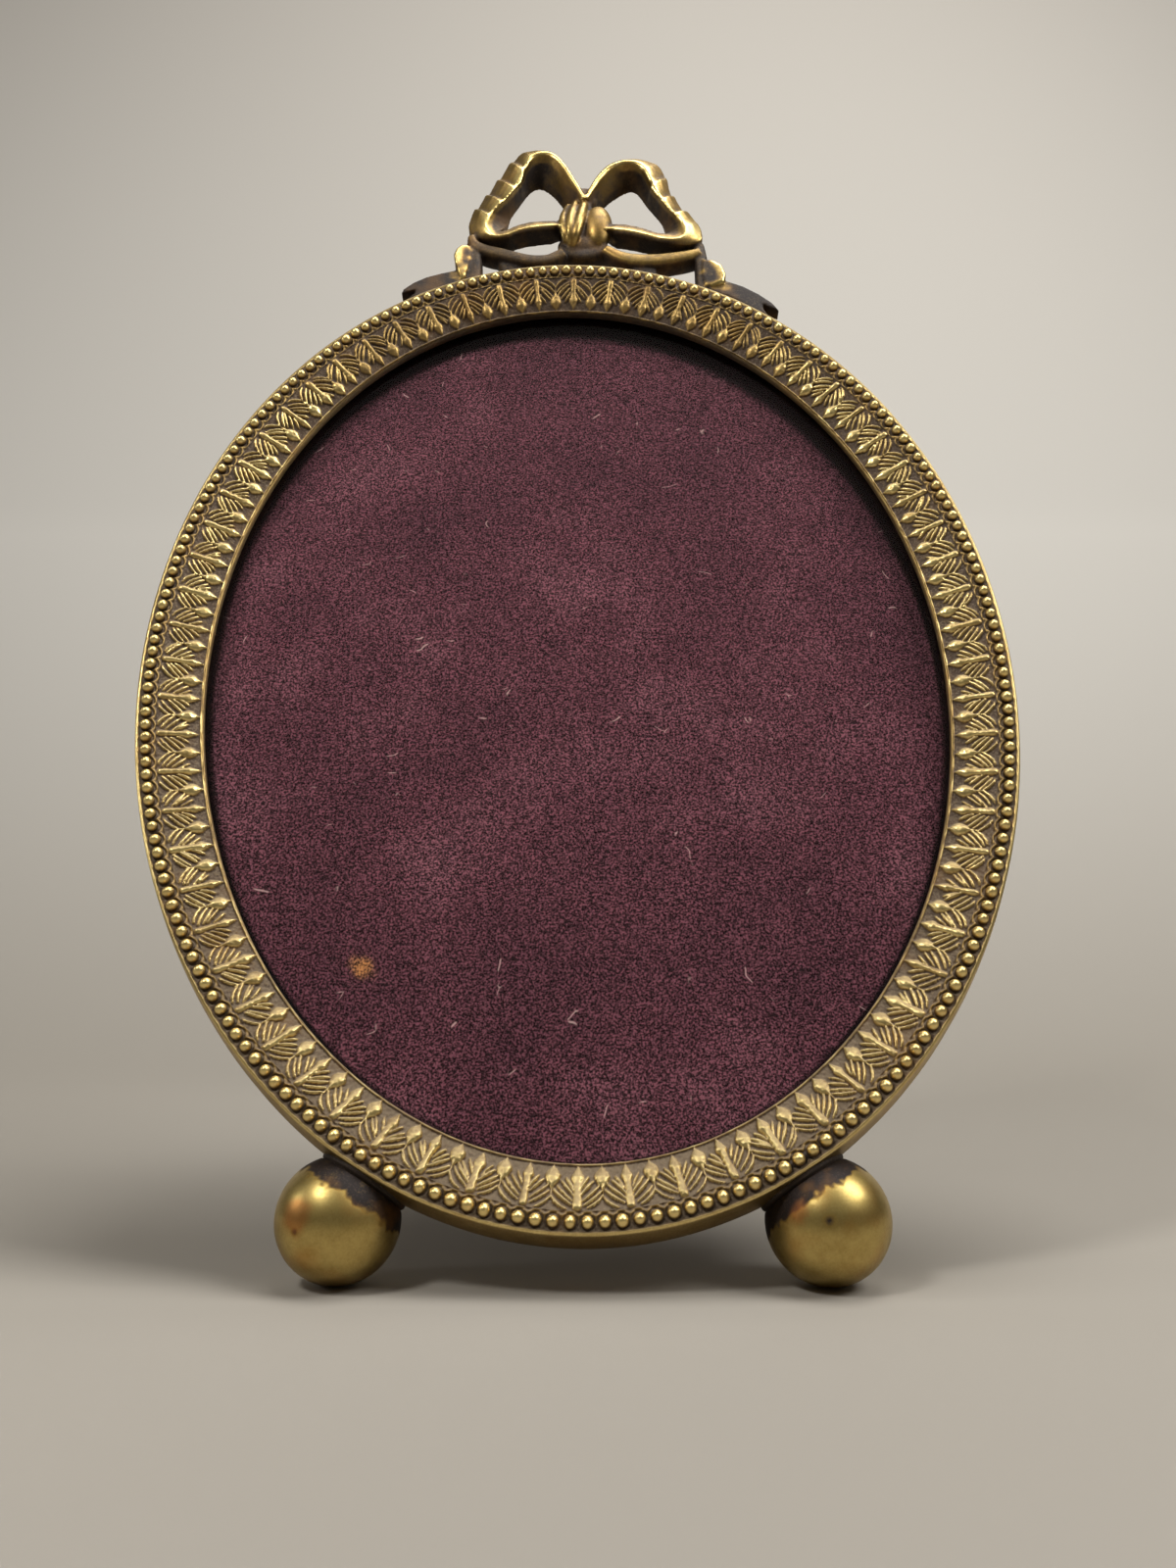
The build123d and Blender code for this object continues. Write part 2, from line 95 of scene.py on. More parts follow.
@dataclass(frozen=True)
class Stance:
    """Where the upright picture's sizes lie in the model."""

    lean: float = math.radians(22.0)
    turn: float = math.radians(3.0)
    leg_swing: float = math.radians(35.0)
    hinge_height: float = 38.0
    hinge_depth: float = -15.3

    def hinge(self) -> Vector:
        """Point on the easel hinge's axis, in the model's metres."""
        joint = next(item for item in frame["joints"] if item["name"] == "easel_swing")
        return Vector(joint["pos_m"])

    def from_hinge(self, points: Array) -> Array:
        """Columns of x, height above the hinge and depth in front of it."""
        x, y, z = np.asarray(points, float).reshape(-1, 3).T
        return np.stack([x, y - self.hinge_height, z - self.hinge_depth])

    def place(self, points: Array) -> Array:
        """Moves points of the upright picture to where they are in the model.

        Args:
            points: rows of x, y, z in millimetres.

        Returns:
            Rows of x, y, z in metres.
        """
        x, up, out = self.from_hinge(points)
        hinge, sin, cos = self.hinge(), math.sin(self.lean), math.cos(self.lean)
        return np.stack([hinge.x + x * MM, hinge.y + (up * sin - out * cos) * MM,
                         hinge.z + (up * cos + out * sin) * MM], axis=1)

    def turned(self, points: Array) -> Array:
        """Turns points that follow the ring by the angle at which the ring sits on its feet.

        Args:
            points: rows of x, y, z in millimetres.

        Returns:
            The turned rows, still in millimetres.
        """
        x, y, z = np.asarray(points, float).reshape(-1, 3).T
        cos, sin = math.cos(self.turn), math.sin(self.turn)
        return np.stack([x * cos - y * sin, x * sin + y * cos, z], axis=1)

    def opened(self, points: Array) -> Array:
        """Swings points of the folded leg out to where the leg stands.

        Args:
            points: rows of x, y, z in millimetres, with the leg flat against the back.

        Returns:
            The swung rows, still in millimetres.
        """
        x, up, out = self.from_hinge(points)
        cos, sin = math.cos(self.leg_swing), math.sin(self.leg_swing)
        return np.stack([x, self.hinge_height + up * cos - out * sin,
                         self.hinge_depth + up * sin + out * cos], axis=1)


STANCE = Stance()


def link_object(name: str, data: bpy.types.ID) -> Piece:
    """Makes an object of its data and puts it in the scene.

    Args:
        name: the object's name.
        data: its mesh, lamp or camera.

    Returns:
        The new object.
    """
    item = bpy.data.objects.new(name, data)
    bpy.context.scene.collection.objects.link(item)
    return item


@dataclass(frozen=True)
class Sight:
    """The photograph's camera, as its place and aim were worked out from the bead row."""

    place: Point = (4.4, -132.7, 202.4)
    rise: float = math.radians(5.8)
    swing: float = math.radians(0.49)
    focal: float = 1370.0
    width: int = 1200
    height: int = 1600
    film: float = 36.0

    def axes(self) -> tuple[Array, Array, Array]:
        """Right, up and forward of the camera in the model's directions."""
        level = math.cos(self.rise)
        forward = np.array([-math.sin(self.swing) * level, math.cos(self.swing) * level,
                            math.sin(self.rise)])
        right = np.array([math.cos(self.swing), math.sin(self.swing), 0.0])
        return right, np.cross(right, forward), forward

    def on_picture(self, pixels: Array | list[Pixel], depth: Array | float) -> Array:
        """Finds what the camera sees at pixels, at a given depth on the upright picture.

        Args:
            pixels: rows of across and down in the photograph.
            depth: z of each point in millimetres, or one z for all.

        Returns:
            Rows of x, y, z on the upright picture in millimetres.
        """
        across, down = np.asarray(pixels, float).reshape(-1, 2).T
        right, up, forward = self.axes()
        x, y, z = (forward + np.outer((across - self.width / 2) / self.focal, right)
                   - np.outer((down - self.height / 2) / self.focal, up)).T
        sin, cos = math.sin(STANCE.lean), math.cos(STANCE.lean)
        ray = np.stack([x, y * sin + z * cos, z * sin - y * cos], axis=1)
        reach = (np.asarray(depth, float) - self.place[2]) / ray[:, 2]
        return np.array(self.place) + ray * reach[:, None]

    def camera(self) -> None:
        """Makes the scene's camera."""
        data = bpy.data.cameras.new("camera")
        data.sensor_width, data.lens = self.film, self.film * self.focal / self.height
        data.clip_start, data.clip_end = 0.01, 20.0
        right, up, forward = self.axes()
        turn = Matrix((right, up, -forward)).transposed().to_4x4()
        camera = link_object("camera", data)
        camera.matrix_world = Matrix.Translation(STANCE.place(np.array(self.place))[0]) @ turn
        bpy.context.scene.camera = camera


SIGHT = Sight()


def linear(colour: str | float) -> Colour:
    """Turns an sRGB hex colour, or the linear value of a grey, into Blender's linear colour.

    Args:
        colour: six hex digits, such as "B8913F", or a number.

    Returns:
        Red, green, blue and alpha.
    """
    if not isinstance(colour, str):
        return (colour, colour, colour, 1.0)
    parts = [int(colour[i:i + 2], 16) / 255 for i in (0, 2, 4)]
    return (*[p / 12.92 if p <= 0.04045 else ((p + 0.055) / 1.055) ** 2.4 for p in parts], 1.0)


def add_node(tree: bpy.types.NodeTree, kind: str, settings: dict) -> bpy.types.Node:
    """Adds a node with its settings and the links into it.

    Args:
        tree: the material's or world's node tree.
        kind: Blender's name of the node type, after its "ShaderNode".
        settings: inputs by name or number with their value or the output that feeds them, properties
            of the node, and the stops of a colour ramp.

    Returns:
        The new node.
    """
    node = tree.nodes.new("ShaderNode" + kind)
    for key, value in settings.items():
        if key == "stops":
            while len(node.color_ramp.elements) < len(value):
                node.color_ramp.elements.new(0.5)
            for element, (position, colour) in zip(node.color_ramp.elements, value):
                element.position, element.color = position, linear(colour)
        elif isinstance(value, Socket):
            tree.links.new(value, node.inputs[key])
        elif isinstance(key, int) or key in node.inputs:
            node.inputs[key].default_value = value
        else:
            setattr(node, key, value)
    return node


class Nodes:
    """The node tree of a new material or world, with short ways to add what the finishes share."""

    def __init__(self, owner: Material | bpy.types.World) -> None:
        """Clears the owner's tree."""
        owner.use_nodes = True
        self.owner, self.tree = owner, owner.node_tree
        self.tree.nodes.clear()

    def add(self, kind: str, settings: dict | None = None, output: str | int = 0) -> Socket:
        """Adds a node and gives back one of its outputs."""
        return add_node(self.tree, kind, settings or {}).outputs[output]

    @cached_property
    def place(self) -> Socket:
        """Place on the piece, in metres."""
        return self.add("TexCoord", output="Object")

    def painted(self, name: str) -> Socket:
        """A value that the mesh carries on its vertices."""
        return self.add("Attribute", {"attribute_name": name}, "Fac")

    def noise(self, width: float, detail: float, roughness: float = 0.5, distortion: float = 0.0,
              place: Socket | None = None) -> Socket:
        """Cloudy values.

        Args:
            width: of the swells, in millimetres.
            detail: how many finer layers there are.
            roughness: how strong the finer layers are.
            distortion: how far the swells are pulled about.
            place: where on the piece, if it isn't the plain place.

        Returns:
            A value around 0.5.
        """
        return self.add("TexNoise", {"Scale": 1 / (width * MM), "Detail": detail, "Roughness": roughness,
                                     "Distortion": distortion, "Vector": place or self.place}, "Fac")

    def ramp(self, value: Socket, *stops: tuple[float, str | float]) -> Socket:
        """A colour ramp, whose stops have a position and a hex colour or a grey."""
        return self.add("ValToRGB", {"stops": stops, "Fac": value}, "Color")

    def span(self, value: Socket, low: float, high: float, to_low: Socket | float = 0.0,
             to_high: Socket | float = 1.0) -> Socket:
        """Stretches one range of values over another and stops at its ends."""
        return self.add("MapRange", {"Value": value, "From Min": low, "From Max": high, "To Min": to_low,
                                     "To Max": to_high})

    def calc(self, operation: str, *values: Socket | float, clamp: bool = False) -> Socket:
        """A calculation with outputs and numbers."""
        return self.add("Math", {"operation": operation, "use_clamp": clamp, **dict(enumerate(values))})

    def cover(self, share: Socket, under: Socket, colour: str | float) -> Socket:
        """Lays one colour over what is under it, by a share."""
        return self.add("Mix", {"data_type": "RGBA", "Factor": share, 6: under, 7: linear(colour)}, 2)

    def bump(self, height: Socket, depth: float, strength: float) -> Socket:
        """Fine relief, with its depth in millimetres."""
        return self.add("Bump", {"Strength": strength, "Distance": depth * MM, "Height": height}, "Normal")

    def end(self, shader: Socket, kind: str = "OutputMaterial") -> Material | bpy.types.World:
        """Ends the tree in a shader and gives back its owner."""
        add_node(self.tree, kind, {"Surface": shader})
        return self.owner

    def surface(self, settings: dict) -> Material:
        """Ends the tree in a principled surface."""
        return self.end(self.add("BsdfPrincipled", settings))


@dataclass(frozen=True)
class PatinatedBrass:
    """Cast brass, yellow where hands rub it and under brown patina and old dust where they don't reach.

    The mesh's own "wear" value says how far a place is rubbed: the eye sees pale gold on the high
    points, olive gold on the slopes and a dull brown, almost without metal, in the recesses. On the top
    of the ring, on the bow and on the tops of the balls the same value also carries painted light and
    shade. Its "copper" value, where it has one, marks a copper-red painted reflection
    of something warm. Dust lies on what faces up: in specks in the recesses, and by "settled" as a film
    over all.
    """

    name: str
    bright: str = "E6CE8C"
    worn: str = "B1935A"
    dull: str = "836B45"
    patina: str = "584636"
    dust: str = "9A8870"
    dust_share: float = 0.6
    stain: str = "A5763C"
    stain_share: float = 0.25
    stain_width: float = 7.0
    bright_roughness: float = 0.33
    patina_roughness: float = 0.6
    grain: float = 0.35
    speck: float = 0.3
    blotch: float = 2.6
    blotch_strength: float = 0.3
    bump: float = 0.02
    # Colour of the painted reflection of something warm.
    copper: str = "B8713A"
    settled: float = 0.0
    film_roughness: float = 0.6

    def build(self) -> Material:
        """Makes the finish.

        Returns:
            The node material.
        """
        nodes = Nodes(bpy.data.materials.new(self.name))
        fine = nodes.noise(self.grain, 3.0)
        blotches = nodes.calc("MULTIPLY_ADD", nodes.noise(self.blotch, 4.0, 0.6), self.blotch_strength,
                              -self.blotch_strength / 2)
        specks = nodes.calc("MULTIPLY_ADD", fine, self.speck, -self.speck / 2)
        rubbed_and_shaded = nodes.calc("ADD", nodes.calc("ADD", nodes.painted("wear"), blotches), specks, clamp=True)
        colour = nodes.ramp(rubbed_and_shaded, (0.06, self.patina), (0.3, self.dull), (0.55, self.worn),
                            (0.9, self.bright))
        stained = nodes.ramp(nodes.noise(self.stain_width, 3.0), (0.52, 0.0), (0.72, self.stain_share))
        colour = nodes.cover(stained, colour, self.stain)
        # Painted reflection: lays the warm copper-red reflection where a piece marks it.
        colour = nodes.cover(nodes.painted("copper"), colour, self.copper)
        upward = nodes.add("SeparateXYZ", {0: nodes.add("NewGeometry", output="Normal")}, "Z")
        recess = nodes.span(rubbed_and_shaded, 0.32, 0.1, to_high=self.dust_share)
        lies = nodes.calc("MULTIPLY", recess, nodes.span(upward, -0.35, 0.35))
        dusty = nodes.calc("MULTIPLY", lies, nodes.ramp(fine, (0.5, 0.0), (0.68, 1.0)))
        film = nodes.span(upward, 0.38, 0.66, to_high=self.settled)
        colour = nodes.cover(film, nodes.cover(dusty, colour, self.dust), self.dust)
        shiny = nodes.ramp(rubbed_and_shaded, (0.15, self.patina_roughness), (0.8, self.bright_roughness))
        return nodes.surface({
            "Base Color": colour, "Metallic": nodes.ramp(rubbed_and_shaded, (0.1, 0.25), (0.5, 1.0)),
            "Roughness": nodes.calc("MULTIPLY_ADD", film, self.film_roughness, shiny, clamp=True),
            "Normal": nodes.bump(fine, self.bump, 0.6), "Specular IOR Level": 0.3})


@dataclass(frozen=True)
class RolledBrass:
    """Sheet and wire brass of the fittings, dulled by handling, with fine lines along its rolling."""

    name: str = "rolled brass"
    clean: str = "C9A860"
    stained: str = "8D6F3A"
    stain_width: float = 3.0
    roughness: float = 0.32
    line: float = 0.12
    stretch: Point = (1.0, 1.0, 0.06)

    def build(self) -> Material:
        """Makes the finish.

        Returns:
            The node material.
        """
        nodes = Nodes(bpy.data.materials.new(self.name))
        along = nodes.add("Mapping", {"Scale": self.stretch, "Vector": nodes.place})
        lines = nodes.noise(self.line, 2.0, place=along)
        colour = nodes.ramp(nodes.noise(self.stain_width, 5.0), (0.35, self.stained), (0.6, self.clean))
        rough = nodes.ramp(lines, (0.3, self.roughness + 0.12), (0.7, self.roughness))
        return nodes.surface({"Metallic": 1.0, "Base Color": colour, "Roughness": rough,
                              "Normal": nodes.bump(lines, 0.01, 0.3)})


@dataclass(frozen=True)
class CottonVelvet:
    """Woven cotton velvet with a short cut pile, plum red, laid flat in hazy patches by use.

    The eye sees a fine salt-and-pepper grain of pile tips, a few threads of lint and, where the
    mesh's "soil" value says so, a tan stain. Where its "sheltered" value says so, the cloth
    is painted nearly black: a painted shadow of the lip. The pile is about 0.25 mm across; its grain is
    drawn at 0.36 mm, because finer would not show.
    """

    name: str = "plum cotton velvet"
    deep: str = "30191E"
    plum: str = "3C2126"
    hazy: str = "513338"
    lint: str = "B79E94"
    soil: str = "9A6A3C"
    sheen: str = "C9A0A6"
    sheen_share: float = 0.12
    pile: float = 0.36
    patch: float = 34.0
    lint_apart: float = 9.0
    lint_bend: float = 0.004
    # How dark the painted shadow of the lip makes the velvet.
    paint_lip_shadow: float = 0.93

    def lint_threads(self, nodes: Nodes) -> Socket:
        """Draws a few bent threads of lint, by the edges of cells that show only here and there.

        Args:
            nodes: the velvet's nodes.

        Returns:
            How far lint hides the cloth.
        """
        bend = nodes.add("TexNoise", {"Scale": 1 / (5.0 * MM), "Detail": 1.0, "Vector": nodes.place},
                         "Color")
        bent = nodes.add("Mix", {"data_type": "VECTOR", "Factor": self.lint_bend, 4: nodes.place,
                                 5: bend}, 1)
        cells = nodes.add("TexVoronoi", {"feature": "DISTANCE_TO_EDGE", "Scale": 1 / (self.lint_apart * MM),
                                         "Vector": bent})
        only = nodes.span(nodes.noise(3.4, 0.0), 0.73, 0.78, to_high=0.5)
        return nodes.calc("MULTIPLY", nodes.span(cells, 0.012, 0.004), only)

    def build(self) -> Material:
        """Makes the finish.

        Returns:
            The node material.
        """
        nodes = Nodes(bpy.data.materials.new(self.name))
        pile = nodes.noise(self.pile, 3.0, 0.6)
        laid = nodes.ramp(nodes.noise(self.patch, 5.0, 0.6), (0.3, self.deep), (0.52, self.plum),
                          (0.8, self.hazy))
        tips = nodes.ramp(pile, (0.39, 0.12), (0.5, 0.8), (0.61, 2.9))
        colour = nodes.add("Mix", {"data_type": "RGBA", "blend_type": "MULTIPLY", "Factor": 1.0,
                                   6: laid, 7: tips}, 2)
        colour = nodes.cover(self.lint_threads(nodes), colour, self.lint)
        soiled = nodes.calc("MULTIPLY", nodes.painted("soil"), tips, clamp=True)
        colour = nodes.cover(soiled, colour, self.soil)
        # Painted shadow of the lip: the velvet is painted nearly black there and loses its sheen.
        sheltered = nodes.painted("sheltered")
        colour = nodes.cover(nodes.calc("MULTIPLY", sheltered, self.paint_lip_shadow), colour, 0.0)
        return nodes.surface({
            "Base Color": colour, "Roughness": 0.9, "Specular IOR Level": 0.02, "Sheen Roughness": 0.4,
            "Sheen Tint": linear(self.sheen),
            "Sheen Weight": nodes.span(sheltered, 0.0, 1.0, self.sheen_share, 0.0),
            "Normal": nodes.bump(pile, 0.1, 0.8)})


@dataclass(frozen=True)
class PictureGlass:
    """Thin drawn glass, clear to the eye but for a faint reflection.

    Bare glass has an index near 1.52. It is set lower here, because the velvet under the glass is
    seen almost without a reflection.
    """

    name: str = "picture glass"
    clear: str = "FAFCFB"
    ior: float = 1.2

    def build(self) -> Material:
        """Makes the finish, which lets lamps' light through as if it were clear.

        Returns:
            The node material.
        """
        nodes = Nodes(bpy.data.materials.new(self.name))
        glass = nodes.add("BsdfPrincipled", {"Base Color": linear(1.0), "Roughness": 0.0,
                                             "IOR": self.ior, "Transmission Weight": 1.0})
        clear = nodes.add("BsdfTransparent", {"Color": linear(self.clear)})
        light = nodes.add("LightPath", output="Is Shadow Ray")
        return nodes.end(nodes.add("MixShader", {0: light, 1: glass, 2: clear}))


@dataclass(frozen=True)
class PressedBoard:
    """Grey-brown pressed fibre board, matt, with darker fibres about 1.5 mm long."""

    name: str = "pressed board"
    pale: str = "8E7655"
    dark: str = "5B4730"
    fibre: float = 0.8

    def build(self) -> Material:
        """Makes the finish.

        Returns:
            The node material.
        """
        nodes = Nodes(bpy.data.materials.new(self.name))
        fibre = nodes.noise(self.fibre, 6.0, distortion=1.2)
        return nodes.surface({"Base Color": nodes.ramp(fibre, (0.35, self.dark), (0.65, self.pale)),
                              "Roughness": 0.85, "Normal": nodes.bump(fibre, 0.05, 0.5)})


def paint(mesh: bpy.types.Mesh, name: str, values: Array) -> None:
    """Gives each vertex a value that the finishes read by its name."""
    mesh.attributes.new(name, "FLOAT", "POINT").data.foreach_set("value", np.asarray(values, np.float32))


def piece_from(name: str, vertices: Array, faces: Faces, material: Material,
               wear: Array | list[float] | None = None) -> Piece:
    """Makes a mesh piece from points of the upright picture.

    Args:
        name: the piece's name.
        vertices: rows of x, y, z in millimetres.
        faces: vertex numbers of each face.
        material: the finish of the whole piece.
        wear: how far each vertex is rubbed bright, with painted light and shade where a piece adds them,
            from 0 to 1.

    Returns:
        The new object, smooth shaded.
    """
    mesh = bpy.data.meshes.new(name)
    mesh.from_pydata(STANCE.place(vertices).tolist(), [], faces)
    if wear is not None:
        paint(mesh, "wear", np.clip(np.ravel(wear), 0, 1))
    mesh.materials.append(material)
    mesh.shade_smooth()
    mesh.update()
    return link_object(name, mesh)


def grid_faces(rows: int, columns: int, close_rows: bool = False, close_columns: bool = False) -> Faces:
    """Four-sided faces of a grid of vertices.

    Args:
        rows: number of rows.
        columns: number of vertices in a row.
        close_rows: whether the last row joins the first.
        close_columns: whether the last column joins the first.

    Returns:
        Four vertex numbers a face.
    """
    row = np.arange(rows if close_rows else rows - 1)[:, None]
    column = np.arange(columns if close_columns else columns - 1)[None, :]
    next_row, next_column = (row + 1) % rows, (column + 1) % columns
    corners = [row * columns + column, row * columns + next_column,
               next_row * columns + next_column, next_row * columns + column]
    return np.stack(np.broadcast_arrays(*corners), axis=-1).reshape(-1, 4).tolist()


def capped_faces(rows: int, columns: int) -> Faces:
    """Faces of a tube of rings, with a cap on either end."""
    last = (rows - 1) * columns
    return grid_faces(rows, columns, close_columns=True) + [
        list(range(columns)), list(reversed(range(last, last + columns)))]


def turns(count: int) -> Array:
    """Evenly spaced angles of a full turn."""
    return np.arange(count) / count * FULL_TURN


def smooth_step(low: float, high: float, value: Array) -> Array:
    """Rises softly from 0 at low to 1 at high."""
    share = np.clip((value - low) / (high - low), 0.0, 1.0)
    return share * share * (3 - 2 * share)


def wobble(points: Array, size: float, seed: float, rows: int | None = None) -> Array:
    """Smooth chance value of each point, between about -1 and 1.

    Args:
        points: rows of x, y, z in millimetres.
        size: width of the swells in millimetres.
        seed: moves the pattern.
        rows: how many rows to lay the values in, if not all in one line.

    Returns:
        One value a point.
    """
    values = np.array([noise.noise(Vector(p) / size + Vector((seed, -seed, seed))) for p in points])
    return values if rows is None else values.reshape(rows, -1)


def finish_piece(piece: Piece, body: Body, slot: str, *nodes: str) -> Piece:
    """Attaches a finished piece to its body, hides the nodes of the model that it replaces and reports it.

    Args:
        piece: the object.
        body: what it moves with.
        slot: the record's material slot; not used.
        nodes: the nodes of the model that it replaces.

    Returns:
        The same object.
    """
    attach(piece, body.value)
    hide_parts(*nodes)
    LOG.info("%s: %d faces, rides on %s", piece.name, len(piece.data.polygons), body.value)
    return piece


@dataclass(frozen=True)
class Oval:
    """The sight edge, and evenly spaced stations round it."""

    half_width: float = 67.0
    half_height: float = 89.0
    steps: int = 14401

    def edge_at(self, angle: Array) -> tuple[Array, Array]:
        """Point of the edge and outward direction at each angle, clockwise from the top."""
        edge = np.stack([self.half_width * np.sin(angle), self.half_height * np.cos(angle)], axis=1)
        outward = np.stack([self.half_height * np.sin(angle), self.half_width * np.cos(angle)], axis=1)
        return edge, outward / np.hypot(*outward.T)[:, None]

    def stations(self, count: int, spaced_at: float) -> tuple[Array, Array]:
        """Stations that are evenly spaced along the line at an offset outside the edge.

        Args:
            count: how many.
            spaced_at: the offset of the line along which the spacing is even.

        Returns:
            Points of the sight edge and its outward directions, as rows of x and y.
        """
        fine = np.linspace(0.0, FULL_TURN, self.steps)
        edge, outward = self.edge_at(fine)
        line = edge + outward * spaced_at
        run = np.concatenate([[0.0], np.cumsum(np.hypot(*np.diff(line, axis=0).T))])
        return self.edge_at(np.interp(np.arange(count) / count * run[-1], run, fine))

    def sweep(self, stations: tuple[Array, Array], offset: Array, depth: Array) -> Array:
        """Carries sections round the edge.

        Args:
            stations: points of the edge and outward directions.
            offset: distance outside the edge, one row for all stations or a row for each.
            depth: z of the same points.

        Returns:
            Rows of x, y, z on the turned ring, station by station.
        """
        edge, outward = stations
        shape = (len(edge), np.shape(depth)[-1])
        place = edge[:, None, :] + outward[:, None, :] * np.broadcast_to(offset, shape)[..., None]
        return STANCE.turned(np.concatenate([place, np.broadcast_to(depth, shape)[..., None]], axis=2))


class Stroke:
    """A raised line of the palmette relief, drawn in one repeat of the band."""

    def __init__(self, points: Rows | Array) -> None:
        """Takes points of pitch share, band share from lip to beads, half width and height in mm."""
        self.points = np.array(points)

    def mirrored(self) -> "Stroke":
        """The same line on the other side of the palmette's rib."""
        return Stroke(self.points * (-1, 1, 1, 1))

    def varied(self, chance: np.random.Generator, drift: float) -> "Stroke":
        """The same line with its place, width and height a little different.

        Args:
            chance: source of the differences.
            drift: how far it moves along the ring.

        Returns:
            The new line.
        """
        table = self.points.copy()
        table[:, 0] += chance.normal(0, drift)
        table[:, 1] += chance.normal(0, 0.014)
        table[:, 2] *= chance.uniform(0.82, 1.16)
        table[:, 3] *= chance.uniform(0.85, 1.12)
        return Stroke(table)

    def height(self, across: Array, along: Array, pitch: float, width: float) -> Array:
        """Height of the line over a grid.

        Args:
            across: place along the ring as a share of the pitch.
            along: place from the lip to the beads as a share of the band.
            pitch: length of a repeat in millimetres.
            width: width of the band in millimetres.

        Returns:
            Heights in millimetres, zero away from the line.
        """
        best = np.zeros_like(across)
        x, y = across * pitch, along * width
        table = self.points * (pitch, width, 1, 1)
        for (ax, ay, aw, ah), (bx, by, bw, bh) in zip(table[:-1], table[1:]):
            run = (bx - ax) ** 2 + (by - ay) ** 2
            share = np.clip(((x - ax) * (bx - ax) + (y - ay) * (by - ay)) / run, 0.0, 1.0)
            away = np.hypot(x - ax - share * (bx - ax), y - ay - share * (by - ay))
            away /= aw + share * (bw - aw)
            best = np.maximum(best, (ah + share * (bh - ah)) * np.clip(1 - away ** 2.4, 0.0, None) ** 0.6)
        return best


RIB = [(0, .95, .58, .46), (0, .86, .68, .58), (0, .70, .58, .6), (0, .52, .54, .6), (0, .40, .68, .64),
       (0, .31, .95, .72), (0, .22, .68, .62), (0, .13, .34, .5), (0, .06, .1, .3)]
LEAVES = [
    [(.085, .55, .18, .4), (.13, .45, .26, .54), (.18, .37, .28, .54), (.225, .30, .18, .4)],
    [(.095, .67, .18, .4), (.17, .57, .27, .56), (.25, .47, .3, .56), (.325, .385, .2, .4)],
    [(.105, .78, .18, .4), (.20, .69, .27, .56), (.31, .585, .3, .56), (.405, .48, .2, .4)],
    [(.13, .87, .16, .38), (.24, .80, .26, .54), (.36, .70, .28, .54), (.465, .585, .2, .4)],
    [(.19, .955, .14, .32), (.30, .905, .23, .46), (.40, .82, .25, .48), (.49, .70, .18, .4)]]
BUD = [(.5, .72, .14, .4), (.5, .56, .17, .42), (.5, .46, .46, .54), (.5, .36, 1.05, .68),
       (.5, .29, 1.25, .74), (.5, .20, .78, .62), (.5, .12, .34, .45), (.5, .05, .1, .3)]


